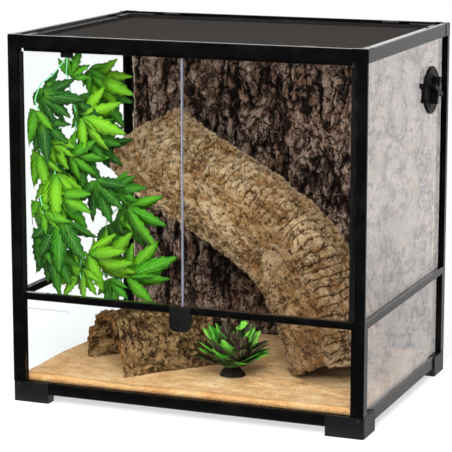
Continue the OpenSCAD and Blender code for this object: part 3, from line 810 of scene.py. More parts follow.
def bark_relief(tree: Tree, where: Val) -> tuple[Val, Val, Val]:
    """The relief of rough pine bark on the wall's plane, the same in its mesh and in its finish.

    Args:
        tree: The tree to build it in.
        where: A place in metres; its depth is left out.

    Returns:
        The relief from 0 in a crack to 1, a number that falls to 0 in a crack, and the grain's streaks.
    """
    flat = tree.stretched(where, 1, 0, 1)
    bent = tree.warped(tree.warped(flat, 9, 0.014), 70, 0.006)
    crack = tree.crags(tree.stretched(bent, 1, 0, 0.34), 19, 4, 0.55, 0.06)
    split = tree.crags(tree.stretched(bent, 1, 0, 0.6), 52, 4, 0.6, 0.07)
    flake = tree.cells(bent, 92, 0, 52)
    plate = tree.noise(tree.stretched(bent, 1, 0, 0.55), 21, 2, 0.5)
    streak = tree.noise(tree.stretched(bent, 150, 0, 50), 1, 6, 0.64)
    rough = tree.noise(flat, 150, 6, 0.7)
    height = (
        crack * 0.3
        + split * 0.22
        + (plate - 0.3) * 0.36
        + (0.5 - flake) * 0.22
        + (streak - 0.4) * 0.34
        + (rough - 0.45) * 0.8
    )
    return height.rise(0.02, 0.84), crack * split, streak


def cork_relief(tree: Tree, place: Val) -> tuple[Val, Val, Val]:
    """The relief of cork bark, laid out along and round its own axis, with rings above and below.

    Args:
        tree: The tree to build it in.
        place: A place in metres: how far along the axis, then the two ways across it.

    Returns:
        The relief from 0 in a cleft to 1, a wide tone, and the fine crumble.
    """
    bent = tree.warped(tree.warped(place, 13, 0.014), 60, 0.006)
    lump = tree.noise(tree.stretched(bent, 0.5, 1, 1), 17, 2, 0.5)
    nugget = tree.cells(bent, 34, 46, 46)
    pebble = tree.cells(tree.warped(bent, 90, 0.004), 88, 104, 104)
    cleft = tree.crags(tree.stretched(bent, 0.55, 1, 1), 30, 4, 0.55, 0.08)
    crumble = tree.noise(tree.warped(place, 40, 0.008), 150, 7, 0.72)
    pits = tree.noise(bent, 120, 2, 0.5)
    fibre = tree.noise(tree.stretched(bent, 0.28, 1, 1), 80, 4, 0.65)
    ring = abs((tree.part(bent, "X") * 230).sine()).rise(0.0, 0.4) - 0.8
    band = abs(tree.part(bent, "Z")).rise(0.042, 0.056) * tree.noise(place, 11, 1, 0.5).rise(0.3, 0.42)
    height = (
        (lump - 0.3) * 0.56
        + (0.7 - nugget) * 0.32
        + (0.6 - pebble) * 0.24
        + (fibre - 0.45) * 0.5
        + cleft * 0.2
        + (crumble - 0.45) * 0.55
        - pits.rise(0.6, 0.68) * 0.3
        + ring * band * 0.4
    )
    return height.rise(-0.02, 0.72), tree.noise(bent, 16, 4, 0.6), crumble


@dataclass(frozen=True)
class BarkFoam(Coating):
    """Foam that is moulded and painted as pine bark, with pale cut edges and a plain back."""

    left: float = -0.2752  # Where the left cut edge is along X, in metres.
    right: float = 0.2882  # Where the right one is.
    skin: float = 0.0012  # How thick the edges look, in metres.
    back: float = 0.2135  # Where the back is along Y, in metres.

    def surface(self, s: Shader) -> Val:
        """Writes the finish into a shader.

        Args:
            s: The shader.

        Returns:
            The surface.
        """
        height, crack, streak = bark_relief(s, s.where)
        dust = s.noise(s.where, 330, 5, 0.75)
        wide = s.noise(s.where, 9, 3, 0.5)
        # Painted shade: low relief takes the darkest tones and the crests the palest, with dust mixed in.
        ground = s.ramp(
            height * 0.74 + (dust - 0.5) * 1.0 + 0.21,
            (0.06, "#060403"),
            (0.26, "#291c17"),
            (0.52, "#4a372e"),
            (0.76, "#72594b"),
            (1.0, "#b49d8c"),
        )
        # Painted highlight in orange-tan on the flanks of the cracks; the orange-tan along the grain's
        # streaks is the bark's own colour.
        lit_flank = crack.rise(0.1, 0.5) * crack.rise(1.0, 0.75) * wide.rise(0.48, 0.58) * dust.rise(0.4, 0.56)
        ground = s.mix((lit_flank + streak.rise(0.57, 0.68) * 0.24) * 0.7, ground, hue("#96694a"))
        # Painted shade in the cracks.
        ground = s.mix(crack.rise(0.35, 0.0) * 0.75, ground, hue("#080504"))
        ground = s.mix(s.noise(s.where, 460, 2, 0.5).rise(0.64, 0.72) * height * 0.8, ground, hue("#e6d8cc"))
        behind = s.part(s.where, "Y").rise(self.back, self.back + 0.002)
        ground = s.mix(behind, ground, s.mix(dust, hue("#1f1b19"), hue("#342e2b")))
        x = s.part(s.where, "X")
        cut = x.rise(self.left + self.skin, self.left) + x.rise(self.right - self.skin, self.right)
        cream = s.mix(dust, hue("#d9c7a2"), hue("#f0e2c2"))
        return s.principled(
            Base_Color=s.mix(cut.rise(0.3, 0.7), ground, cream),
            Roughness=0.88 - height * 0.2,
            Normal=s.bump(height + s.noise(s.where, 300, 5, 0.7) * 0.45, 0.008),
        )


@dataclass(frozen=True)
class CorkBark(Coating):
    """Cork bark, with painted shade in its clefts, pits and hollows, and where set, towards its foot."""

    tones: tuple[str, str, str, str, str]  # Its display colours from the painted shade of the clefts to the crests.
    warm: str  # The display colour of its warmer patches.
    faded: float = 0.0  # How much painted shade darkens and greys it along its axis towards its foot, from 0 to 1.

    def surface(self, s: Shader) -> Val:
        """Writes the finish into a shader.

        Args:
            s: The shader.

        Returns:
            The surface.
        """
        place = s.attribute("bark_place", "Vector")
        height, tone, crumble = cork_relief(s, place)
        dust = s.noise(s.where, 240, 5, 0.75)
        # Painted shade: low relief takes the darkest tones and the crests the palest, with random tone mixed
        # in.
        ground = s.ramp(
            height * 0.85 + (dust - 0.5) * 0.95 + (tone - 0.5) * 0.5 + (crumble - 0.5) * 0.6 + 0.22,
            *zip((0.02, 0.15, 0.36, 0.62, 0.92), self.tones),
        )
        ground = s.mix(tone.rise(0.54, 0.68) * 0.4, ground, hue(self.warm))
        # Painted shade: pits, seams and hollows are darkened towards the deepest tone.
        pit = s.noise(s.warped(place, 120, 0.003), 110, 3, 0.6).rise(0.41, 0.34)
        seam = s.crags(s.warped(place, 60, 0.006), 34, 4, 0.6, 0.035).rise(0.6, 0.0)
        hollow = s.crags(s.warped(place, 30, 0.012), 15, 5, 0.65, 0.03).rise(0.8, 0.0)
        deep = (pit * 0.8 + seam * 0.5 + hollow * 0.7).rise(0.0, 1.0)
        ground = s.mix(deep * 0.75, ground, hue(self.tones[0]))
        # Painted shade: darker and greyer along the axis towards the foot.
        along = s.part(place, "X").rise(0.05, 0.45)
        ground = s.mix(along * self.faded, ground, hue("#b5aaa0"), "MULTIPLY")
        fibre = s.noise(s.stretched(s.where, 260, 260, 60), 1, 4, 0.65)
        sawn = s.ramp(fibre, (0.3, "#3a2010"), (0.5, "#93602c"), (0.7, "#cf9550"))
        relief = height + crumble * 0.7 + s.noise(s.where, 330, 5, 0.7) * 0.35 - pit * 0.3 - hollow * 0.3
        return s.principled(
            Base_Color=s.mix(s.attribute("cut"), ground, sawn),
            Roughness=0.92 - height * 0.12,
            Normal=s.bump(relief, 0.014),
        )


@dataclass(frozen=True)
class Sand(Coating):
    """Fine dry sand of mixed grains, with painted shade along the front glass."""

    # Where the imported band of painted shade along the front glass starts and is full along Y, in metres.
    packed: tuple[float, float] = (-0.204, -0.212)

    def surface(self, s: Shader) -> Val:
        """Writes the finish into a shader.

        Args:
            s: The shader.

        Returns:
            The surface.
        """
        grain = s.noise(s.where, 1300, 2, 0.7)
        patch = s.noise(s.where, 22, 5, 0.65)
        ripple = s.noise(s.stretched(s.where, 26, 40, 26), 1, 5, 0.6)
        crumb = s.noise(s.where, 380, 5, 0.8)
        ground = s.ramp(
            patch * 0.36 + grain * 0.1 + crumb * 0.54, (0.36, "#a06d3a"), (0.5, "#f8c488"), (0.62, "#ffeac0")
        )
        speck = s.cells(s.where, 330, 330, 330).rise(0.3, 0.16)
        ground = s.mix(speck * 0.6, ground, hue("#7a5634"))
        # Painted shade: the sand along the front glass is darkened.
        band = s.part(s.where, "Y").rise(*self.packed)
        return s.principled(
            Base_Color=s.mix(band * 0.8, ground, hue("#dcd0bc"), "MULTIPLY"),
            Roughness=0.9 - grain * 0.1,
            Normal=s.bump(ripple * 1.3 + patch + crumb * 0.4, 0.011),
        )


@dataclass(frozen=True)
class Leaf(Coating):
    """A soft leaf: its tone comes from the mesh, and its ribs from where it is along the blade."""

    dark: str  # The display colour of the tone 0.
    middle: str  # That of the tone 0.5.
    bright: str  # That of the tone 1.
    root: str  # The display colour of a blade's foot.
    ribs: float = 9.0  # How many side ribs a blade has.
    rooted: float = 0.35  # How far along the blade the foot's colour reaches.

    def surface(self, s: Shader) -> Val:
        """Writes the finish into a shader.

        Args:
            s: The shader.

        Returns:
            The surface.
        """
        along, across = s.attribute("along"), abs(s.attribute("across"))
        cloud = s.noise(s.where, 110, 4, 0.65)
        tone = s.attribute("tone") + (cloud - 0.5) * 0.5
        green = s.ramp(tone, (0.05, self.dark), (0.5, self.middle), (0.95, self.bright))
        midrib = across.rise(0.13, 0.04)
        green = s.mix(midrib * 0.12, green, hue("#c9dd8c"))
        green = s.mix(along.rise(self.rooted, self.rooted - 0.3) * 0.75, green, hue(self.root))
        side = ((along - across * 0.28) * (self.ribs * 6.28)).sine()
        green = s.mix(side.rise(0.7, 1.0) * 0.3, green, hue("#8fce54"))
        body = s.principled(
            Base_Color=green,
            Roughness=0.34 + cloud * 0.2,
            IOR=1.42,
            Normal=s.bump(side * 0.3 + midrib + cloud, 0.0012, 0.7),
        )
        return s.blend(0.3, body, s.out("ShaderNodeBsdfTranslucent", {}, {"Color": green}))


@dataclass(frozen=True)
class Stone(Coating):
    """A dark cast stone with pale grit."""

    def surface(self, s: Shader) -> Val:
        """Writes the finish into a shader.

        Args:
            s: The shader.

        Returns:
            The surface.
        """
        grit = s.noise(s.where, 260, 5, 0.7)
        tone = grit * 0.5 + s.noise(s.where, 45, 4, 0.6) * 0.5
        return s.principled(
            Base_Color=s.ramp(tone, (0.3, "#0c0a09"), (0.6, "#231d19"), (0.85, "#5b4d40")),
            Roughness=0.85 - grit * 0.2,
            Normal=s.bump(grit, 0.001, 0.8),
        )


@unique
class Finish(Enum):
    """Every finish, under its material's name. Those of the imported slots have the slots' names."""

    frame_plastic = Moulded("#040404", 0.24, shine=1.26, top=0.7)
    foot_plastic = Moulded("#0a0a0b", 0.46, grain=0.00008, shine=1.4)
    pane_glass = Glass(veil=8.0)
    side_glass = Glass(wiped=0.15)
    hinge_strip_plastic = Moulded("#0b0b0c", 0.34)
    seal_clear = Seal("#5a5a70", middle=-0.0006, half=0.001)
    lock_plastic = Moulded("#0d0d0e", 0.24, coat=0.4)
    steel = Metal("#a3a5a8", 0.34)
    clip_plastic = Moulded("#0c0c0d", 0.3, coat=0.3)
    screen_bar = Moulded("#1b1a1a", 0.16, grain=0.00001, shine=1.8, coat=1.0)
    screen_wire = Metal("#26221f", 0.6, metal=0.1)
    vent_plastic = Moulded("#0b0b0c", 0.42, grain=0.00006, shine=1.15)
    pan_plastic = Moulded("#1a1a1b", 0.5)
    bark_foam = BarkFoam()
    sand = Sand()
    cork_log = CorkBark(("#2c190c", "#8a6038", "#c4965f", "#e4b780", "#fbdcae"), "#cf9459", faded=0.9)
    cork_hide = CorkBark(("#0a0603", "#352313", "#624527", "#8f6b40", "#c09c6a"), "#88542a")
    vine_leaf = Leaf("#124e1a", "#3c900f", "#72b416", "#4c921f")
    vine_stem = Moulded("#74c08a", 0.4)
    plant_leaf = Leaf("#452630", "#3aa82c", "#96e458", "#4a2430", ribs=5.0, rooted=0.8)
    plant_stone = Stone()
    printed_ink = Moulded("#4c4c4c", 0.6)


class Palette:
    """Makes each finish once, when it is first used."""

    def __init__(self) -> None:
        """Starts with nothing made."""
        self.made: dict[Finish, bpy.types.Material] = {}

    def __getitem__(self, finish: Finish) -> bpy.types.Material:
        """The material of a finish.

        Args:
            finish: The finish.

        Returns:
            Its material.
        """
        if finish not in self.made:
            self.made[finish] = finish.value.make(finish.name)
        return self.made[finish]


# ---------------------------------------------------------------- sub-assemblies


@dataclass
class Enclosure:
    """The frame, panes, doors, lid and vent, which keep their CAD shapes."""

    palette: Palette  # The finishes.
    replaced: tuple[str, ...]  # The nodes that other pieces replace.
    dusty: tuple[str, ...] = ("upper_pane_right", "lower_pane_right")  # The panes whose film is seen.

    def dress(self) -> int:
        """Gives every kept CAD node the finish of its slot.

        Returns:
            How many nodes were dressed.
        """
        done = 0
        for name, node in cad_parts.items():
            if name in self.replaced:
                continue
            for k, held in enumerate(node.data.materials):
                slot = "side_glass" if name in self.dusty else held.name.split(".")[0]
                if slot in Finish.__members__:
                    node.data.materials[k] = self.palette[Finish[slot]]
                    done += 1
                else:
                    LOG.warning("%s has the slot %s, which no finish names", name, slot)
        return done


@dataclass
class Piece:
    """A piece that this script shapes itself."""

    palette: Palette  # The finishes.

    def build(self) -> bpy.types.Object:
        """Builds the piece and returns it."""
        raise NotImplementedError


@dataclass
class WovenScreen(Piece):
    """The lid's metal gauze: two layers of straight wires that cross."""

    pitch: float = 1.5 * MM  # The distance between wires.
    wire: float = 0.27 * MM  # A wire's radius.
    lift: float = 0.9  # How far each layer is off the sheet's middle, in radii.
    sides: int = 4  # How many sides a wire has.

    def layer(self, b: Builder, along: int, lift: float) -> Val:
        """One layer of wires over the CAD sheet's own area.

        Args:
            b: The tree to build it in.
            along: The axis that the wires follow: 0 for X or 1 for Y.
            lift: How far off the sheet's middle they are, in metres.

        Returns:
            The wires, as copies of one tube.
        """
        low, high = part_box("screen_mesh")
        across = 1 - along
        count = int((high[across] - low[across] - 2 * self.wire) / self.pitch)
        half, step, start = Vector(), Vector(), (low + high) / 2
        half[along] = (high[along] - low[along]) / 2
        step[across] = 1.0
        start.z += lift
        start[across] -= count * self.pitch / 2
        line = b.out("GeometryNodeCurvePrimitiveLine", {}, {"Start": tuple(-half), "End": tuple(half)})
        offset = b.stretched(b.given("Pitch"), *step)
        places = {"Count": count + 1, "Start Location": tuple(start), "Offset": offset}
        row = b.out("GeometryNodeMeshLine", {"mode": "OFFSET"}, places)
        wire = b.tube(line, b.ring(self.sides, b.given("Wire")))
        return b.out("GeometryNodeInstanceOnPoints", {}, {"Points": row, "Instance": wire})

    def build(self) -> bpy.types.Object:
        """Builds the gauze.

        Returns:
            The finished piece.
        """
        b = Builder("woven_screen", Pitch=self.pitch, Wire=self.wire)
        both = b.add("GeometryNodeJoinGeometry")
        for along, side in ((0, 1), (1, -1)):
            layer = self.layer(b, along, side * self.lift * self.wire)
            b.tree.links.new(layer.socket, both.inputs[0])
        source = bpy.data.meshes.new("gauze")
        finish = self.palette[Finish.screen_wire]
        piece = b.run(source, "woven_screen", finish, Val(b, both.outputs[0]), smooth=False)
        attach(piece, "lid")
        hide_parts("screen_mesh")
        return piece


@dataclass
class BarkWall(Piece):
    """The moulded bark panel in front of the rear pane."""

    step: float = 2.6 * MM  # About the distance between the relief's points.
    base: float = 206.2 * MM  # Where the relief's lowest points are along Y.
    depth: float = 10.2 * MM  # How far the relief stands out.
    fringe: float = 6.0 * MM  # How far the wall reaches past the CAD panel, up to the rear post.

    def build(self) -> bpy.types.Object:
        """Builds the wall with its relief.

        Returns:
            The finished piece.
        """
        low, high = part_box("background_panel")
        across = np.linspace(low.x - self.fringe, high.x, round((high.x - low.x) / self.step) + 1)
        up = np.linspace(low.z, high.z, round((high.z - low.z) / self.step) + 1)
        grid = np.empty((len(up), len(across), 3))
        grid[..., 0], grid[..., 1], grid[..., 2] = across[None, :], self.base, up[:, None]

        def to_back(edge: np.ndarray) -> np.ndarray:
            """The border moved to the panel's back."""
            edge[:, 1] = high.y
            return edge

        b = Builder("bark_wall", Depth=self.depth)
        height = bark_relief(b, b.position())[0]
        shape = b.moved(Offset=b.combined(Y=height * b.given("Depth") * b.named("face") * -1.0))
        source = height_slab("bark_wall", grid, [to_back])
        piece = b.run(source, "bark_wall", self.palette[Finish.bark_foam], shape)
        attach(piece, "tank")
        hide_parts("background_panel")
        return piece


@dataclass
class SandBed(Piece):
    """The sand in the pan: soft dunes that fall towards the front."""

    step: float = 4.0 * MM  # About the distance between the surface's points, in metres.
    floor: float = 22.0  # The pan's floor along Z.
    depth: float = 17.5  # The mean depth of the sand in front.
    fall: float = 5.0  # How much deeper it is at the rear than in front.
    swell: float = 2.6  # Half the height of the dunes.
    ripple: float = 3.0 * MM  # The height of the ripples, in metres.
    rear: float = 195.3  # Where the sand ends along Y.
    front: float = 216.3  # How far in front of the middle it ends.
    rim: float = 34.0  # The top of the pan's wall along Z.
    wall: float = 10.2  # How much narrower it is on each side, between the pan's walls.
    rear_row: float = 190.0  # Border points further back than this follow the pan's rear wall.

    def surface(self, x: np.ndarray, y: np.ndarray) -> np.ndarray:
        """The sand's height.

        Args:
            x: Places along X in mm.
            y: Places along Y in mm.

        Returns:
            The height at each place in mm.
        """
        waves = [1.1 * x + 40, 1.7 * x + 1.3 * y, 2.1 * y - 0.8 * x]
        waver = sum(np.sin(np.radians(wave)) for wave in waves) / len(waves)
        fall = self.fall * (self.rear - y) / (self.rear + self.front)
        return self.floor + self.depth + fall + self.swell * waver

    def lowered(self, edge: np.ndarray, z: float, within: bool) -> np.ndarray:
        """Moves a ring of the border down.

        Args:
            edge: The ring's points, which are changed.
            z: The new height in mm.
            within: Whether the ring also goes inside the pan's wall.

        Returns:
            The ring's points.
        """
        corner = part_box("sand_bed")[1]
        edge[:, 2] = z * MM
        if within:
            side = corner.x - self.wall * MM
            edge[:, 0] = np.clip(edge[:, 0], -side, side)
            front = np.clip(edge[:, 1], -corner.y, corner.y)
            edge[:, 1] = np.where(edge[:, 1] > self.rear_row * MM, corner.y, front)
        return edge

    def build(self) -> bpy.types.Object:
        """Builds the sand.

        Returns:
            The finished piece.
        """
        low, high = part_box("sand_bed")
        rear = self.rear * MM
        across = np.linspace(low.x, high.x, round((high.x - low.x) / self.step) + 1)
        along = np.linspace(low.y, rear, round((rear - low.y) / self.step) + 1)
        grid = np.empty((len(along), len(across), 3))
        grid[..., 0], grid[..., 1] = across[None, :], along[:, None]
        grid[..., 2] = self.surface(grid[..., 0] / MM, grid[..., 1] / MM) * MM - self.ripple / 2
        levels = ((self.rim, False), (self.rim, True), (self.floor, True))
        rings = [partial(self.lowered, z=z, within=within) for z, within in levels]
        b = Builder("sand_bed", Ripple=self.ripple)
        soft = b.noise(b.stretched(b.position(), 1, 1.5, 1), 20, 5, 0.55)
        shape = b.moved(Offset=b.combined(Z=soft * b.given("Ripple") * b.named("face")))
        source = height_slab("sand_bed", grid, rings)
        piece = b.run(source, "sand_surface", self.palette[Finish.sand], shape)
        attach(piece, "tank")
        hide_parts("sand_bed")
        return piece


@dataclass
class CorkPiece(Piece):
    """A piece of cork bark with lumps, clefts and pits raised along its own surface."""

    node: str  # The CAD node whose form it takes, which also names its finish and slot.
    name: str  # The piece's name.
    axis: tuple[Point, ...]  # The control points of its centre line in mm.
    sawn: bool = False  # Whether its ends are sawn.
    voxel: float = 3.1 * MM  # The size of its faces.
    rounds: int = 5  # How many times its form is smoothed.
    depth: float = 11.0 * MM  # How deep the relief is.
    crest: float = 0.75  # The relief that keeps its place on the form.
    steps: int = 120  # How many places along its axis are told apart.
    facing: float = 0.45  # How squarely a face must look along the axis to count as sawn, from 0 to 1.
    sharp: float = 0.25  # How much more squarely it must look to be sawn all over.

    def placed(self, mesh: bpy.types.Mesh) -> bpy.types.Mesh:
        """Stores each point's place along and across the axis, and whether it is on a sawn end.

        Args:
            mesh: The bark's mesh.

        Returns:
            The same mesh.
        """
        spots, normals = point_rows(mesh), point_rows(mesh, "normal")
        line = curve_points(self.axis, self.steps)
        ahead = np.gradient(line, axis=0)
        gone = np.concatenate([[0.0], np.cumsum(np.linalg.norm(np.diff(line, axis=0), axis=1))])
        ahead /= np.linalg.norm(ahead, axis=1)[:, None]
        aside = np.cross(ahead, (0.0, 0.0, 1.0))
        aside /= np.linalg.norm(aside, axis=1)[:, None]
        nearest = ((spots[:, None] - line[None]) ** 2).sum(axis=2).argmin(axis=1)
        away = spots - line[nearest]
        frames = (ahead[nearest], aside[nearest], np.cross(aside, ahead)[nearest])
        place = np.stack([(away * part).sum(axis=1) for part in frames], axis=1)
        place[:, 0] += gone[nearest]
        facing = np.abs((normals * frames[0]).sum(axis=1))
        store(mesh, "bark_place", place.ravel(), "FLOAT_VECTOR")
        store(mesh, "cut", np.clip((facing - self.facing) / self.sharp, 0.0, 1.0) * self.sawn)
        return mesh

    def build(self) -> bpy.types.Object:
        """Builds the cork.

        Returns:
            The finished piece.
        """
        b = Builder(self.name, Depth=self.depth)
        height = cork_relief(b, b.named("bark_place", "FLOAT_VECTOR"))[0]
        amount = (height - self.crest) * b.given("Depth")
        shape = b.moved(Offset=b.vector("MULTIPLY", b.out("GeometryNodeInputNormal"), amount))
        source = self.placed(remeshed(self.node, self.voxel, self.rounds))
        piece = b.run(source, self.name, self.palette[Finish[self.node]], shape)
        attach(piece, "tank")
        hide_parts(self.node)
        return piece


@dataclass(frozen=True)
class Blade:
    """One leaf blade: where its foot is, how it is turned, its length and how bright it is."""

    foot: Point
    turn: Point
    length: float
    tone: float


@dataclass(frozen=True)
class BladeShape:
    """A leaf blade of unit length along X, with toothed edges and a fold at its midrib."""

    width: float  # Its width.
    teeth: int  # How many teeth each edge has.
    bite: float  # How deep the teeth are, as a share of half the width there.
    droop: float  # How far the tip hangs.
    fold: float = 0.22  # How steeply the halves rise from the midrib.
    thick: float = 0.006  # Half its thickness at the midrib.
    belly: float = 0.82  # Where it is widest; a lower number is nearer the foot.
    blunt: float = 0.85  # How full its ends are; a lower number is fuller.
    hook: float = 0.5  # How far a tooth leans to the tip, in bites.
    notch: float = 0.2  # How far a notch leans to the foot, in bites.

    def build(self, name: str) -> bpy.types.Object:
        """Builds a closed blade with what a finish needs to draw its ribs.

        Args:
            name: The new object's name.

        Returns:
            The blade.
        """
        steps = 2 * self.teeth
        points, across = [], []
        for i in range(1, steps):
            t = i / steps
            tooth = i % 2
            half = self.width / 2 * math.sin(math.pi * t**self.belly) ** self.blunt
            reach = half * (1 + self.bite if tooth else 1 - self.bite)
            sag = -self.droop * t * t
            edge = t + (self.hook if tooth else -self.notch) * self.bite * half
            rise = sag + self.fold * half
            points += [(t, 0.0, sag + self.thick), (edge, reach, rise)]
            points += [(t, 0.0, sag - self.thick), (edge, -reach, rise)]
            across += [0.0, 1.0, 0.0, -1.0]
        along = [i / steps for i in range(1, steps) for _ in range(4)]
        faces = ring_faces(steps - 1, 4)
        for place, ring in ((0.0, 0), (1.0, 4 * (steps - 2))):
            tip = len(points)
            points.append((place, 0.0, -self.droop * place))
            along.append(place)
            across.append(0.0)
            for k in range(4):
                a, b = ring + k, ring + (k + 1) % 4
                faces.append((a, b, tip) if place == 0.0 else (b, a, tip))
        mesh = new_mesh(name, points, faces)
        store(mesh, "along", along)
        store(mesh, "across", across)
        return shown(name, turned_outwards(mesh))


def scattered(
    name: str, shape: bpy.types.Object, blades: Sequence[Blade], material: bpy.types.Material
) -> bpy.types.Object:
    """Puts a blade at each place and joins them into one mesh.

    Args:
        name: The new piece's name.
        shape: The blade, which is removed afterwards.
        blades: Where the blades go.
        material: Their finish.

    Returns:
        The new piece.
    """
    points = new_mesh(name + "_points", [blade.foot for blade in blades], [])
    store(points, "turn", [part for blade in blades for part in blade.turn], "FLOAT_VECTOR")
    for label in ("length", "tone"):
        store(points, label, [getattr(blade, label) for blade in blades])
    b = Builder(name, Blade=shape)
    blade = b.out("GeometryNodeObjectInfo", {}, {"Object": b.given("Blade")}, "Geometry")
    rotation = b.out("FunctionNodeEulerToRotation", {}, {0: b.named("turn", "FLOAT_VECTOR")})
    length = b.named("length")
    sockets = {
        "Points": b.given("Geometry"),
        "Instance": blade,
        "Rotation": rotation,
        "Scale": b.combined(X=length, Y=length, Z=length),
    }
    piece = b.run(points, name, material, b.out("GeometryNodeInstanceOnPoints", {}, sockets))
    bpy.data.objects.remove(shape)
    return piece


def stems(
    name: str, lines: Sequence[Sequence[Point]], radius: float, material: bpy.types.Material
) -> bpy.types.Object:
    """Makes round stems as one mesh.

    Args:
        name: The new piece's name.
        lines: The stems' points in metres.
        radius: Their radius in metres.
        material: Their finish.

    Returns:
        The new piece.
    """
    points, edges = [], []
    for line in lines:
        start = len(points)
        points += line
        edges += [(start + k, start + k + 1) for k in range(len(line) - 1)]
    mesh = bpy.data.meshes.new(name)
    mesh.from_pydata(points, edges, [])
    b = Builder(name, Radius=radius)
    curve = b.out("GeometryNodeMeshToCurve", {}, {0: b.given("Geometry")})
    return b.run(mesh, name, material, b.tube(curve, b.ring(6, b.given("Radius"))))


@dataclass
class HangingVine(Piece):
    """Three strands of five-fingered leaves that hang from a hook on the front lip."""

    hook: Point = (-207.0, -206.0, 578.0)  # Where the strands start, in mm.
    bar: Point = (20.0, 8.0, 12.0)  # The size of the hook's block along each axis, in mm.
    raised: float = 2.0  # How far the block's middle is above the strands' start, in mm.
    bevel: float = 1.2 * MM  # How much its edges are broken.
    seed: int = 7  # What the random differences follow from.
    blade: BladeShape = BladeShape(width=0.34, teeth=6, bite=0.15, droop=0.12)
    stem: float = 1.0 * MM  # A stem's radius.
    tilt: Span = (-16, 10)  # How far a hand may lean off the strand, in degrees.
    fan: Span = (-5, 5)  # How far a blade may be off its place in the hand, in degrees.
    lean: Span = (-10, 16)  # How far a blade may hang, in degrees.
    roll: Span = (-22, 22)  # How far a blade may turn about its midrib, in degrees.
    lengths: Span = (0.95, 1.08)  # How much shorter or longer a blade may be.
    shades: Span = (-0.12, 0.12)  # How much darker or brighter a blade may be.
    stalk: float = 0.12  # How far from its place a hand starts, in hand sizes.
    taper: float = 0.15  # How much shorter each blade is than the one nearer the middle.
    # The turns, the sizes and the blade angles that a hand between two others may have.
    between: tuple[Span, Span, Span] = ((-100, 10), (48, 74), (24, 36))
    tones: tuple[float, ...] = (0.1, 0.35, 0.6, 0.9)  # The tones that such a hand may have.
    lowest: float = 150.0  # The height that such a hand stays above.
    # How far a strand may bend along X and along Y between two hands.
    sway: tuple[Span, Span] = ((-6, 6), (-3, 3))
    sag: float = 3.0  # How far it hangs down there.
    # Where it bends, as a share of the way to the next hand, and with what share of its sway.
    bends: tuple[Span, ...] = ((0.33, 0.7), (0.66, 1.0))
    # Each strand's hands of leaves from the top. A hand is its place along X, Y and Z, its turn from +X
    # towards +Z, its size, the angle between its blades, and its tone.
    strands: tuple[tuple[tuple[float, ...], ...], ...] = (
        (
            (-218, -185, 536, 60, 50, 34, 0.6),
            (-206, -180, 478, -20, 85, 36, 0.95),
            (-224, -150, 427, -75, 80, 30, 0.15),
            (-241, -190, 390, -80, 80, 25, 0.9),
            (-228, -200, 319, -85, 95, 30, 0.2),
            (-256, -180, 264, -75, 80, 22, 0.25),
            (-201, -170, 250, -30, 80, 34, 0.95),
            (-201, -180, 205, 160, 60, 34, 0.85),
        ),
        (
            (-200, -150, 552, -50, 44, 34, 0.5),
            (-204, -120, 521, -52, 76, 34, 0.2),
            (-231, -80, 467, -60, 80, 34, 0.3),
            (-189, -150, 375, -70, 80, 30, 0.2),
            (-153, -120, 326, -50, 90, 30, 0.5),
            (-191, -100, 290, -60, 70, 34, 0.35),
            (-186, -150, 215, 50, 75, 36, 0.9),
            (-152, -130, 198, 20, 90, 30, 0.6),
        ),
        (
            (-262, -195, 528, -60, 66, 34, 0.45),
            (-266, -204, 492, -100, 62, 30, 0.6),
            (-254, -190, 455, -95, 80, 34, 0.9),
            (-262, -202, 420, -108, 66, 32, 0.8),
            (-256, -150, 385, -85, 76, 32, 0.85),
            (-262, -204, 342, -100, 66, 30, 0.7),
            (-262, -204, 292, -100, 66, 32, 0.3),
        ),
    )

    def hand(self, spec: Sequence[float], draw: random.Random) -> list[Blade]:
        """Makes the blades of one hand.

        Args:
            spec: The hand, as in strands.
            draw: The source of its small differences.

        Returns:
            Its five blades.
        """
        x, y, z, turn, size, spread, tone = spec
        held = turned(draw.uniform(*self.tilt), "X") @ turned(-turn, "Y") @ turned(90, "X")
        foot = (Vector((x, y, z)) + held @ Vector((self.stalk * size, 0, 0))) * MM
        blades = []
        for k in range(-2, 3):
            fan = turned(spread * k + draw.uniform(*self.fan), "Z")
            lean = turned(draw.uniform(*self.lean), "Y")
            roll = turned(draw.uniform(*self.roll), "X")
            length = size * (1 - self.taper * abs(k)) * draw.uniform(*self.lengths) * MM
            shade = tone + draw.uniform(*self.shades)
            blades.append(Blade(tuple(foot), tuple((held @ fan @ lean @ roll).to_euler()), length, shade))
        return blades

    def hand_between(
        self, above: Sequence[float], below: Sequence[float], draw: random.Random
    ) -> list[Blade]:
        """Makes the blades of a smaller hand halfway between two others.

        Args:
            above: The upper hand, as in strands.
            below: The lower one.
            draw: The source of its turn, size and tone.

        Returns:
            Its five blades.
        """
        place = [a + (b - a) / 2 for a, b in zip(above[:3], below[:3])]
        turns, sizes, spreads = self.between
        size = min(draw.uniform(*sizes), place[2] - self.lowest)
        look = (draw.uniform(*turns), size, draw.uniform(*spreads), draw.choice(self.tones))
        return self.hand((*place, *look), draw)

    def build(self) -> bpy.types.Object:
        """Builds the vine.

        Returns:
            The finished piece.
        """
        draw = random.Random(self.seed)
        blades: list[Blade] = []
        lines: list[list[Point]] = []
        for strand in self.strands:
            trail = [Vector(self.hook)] + [Vector(spec[:3]) for spec in strand]
            lines.append([tuple(spot * MM) for spot in self.sagging(trail, draw)])
            for spec in strand:
                blades += self.hand(spec, draw)
            for above, below in zip(strand, strand[1:]):
                blades += self.hand_between(above, below, draw)
        shape = self.blade.build("vine_blade")
        leaves = scattered("vine_leaves", shape, blades, self.palette[Finish.vine_leaf])
        stem = stems("vine_stems", lines, self.stem, self.palette[Finish.vine_stem])
        kept_inside(leaves, "hanging_vine")
        piece = joined("hanging_leaves", [leaves, stem, self.hook_block()])
        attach(piece, "tank")
        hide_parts("hanging_vine")
        return piece

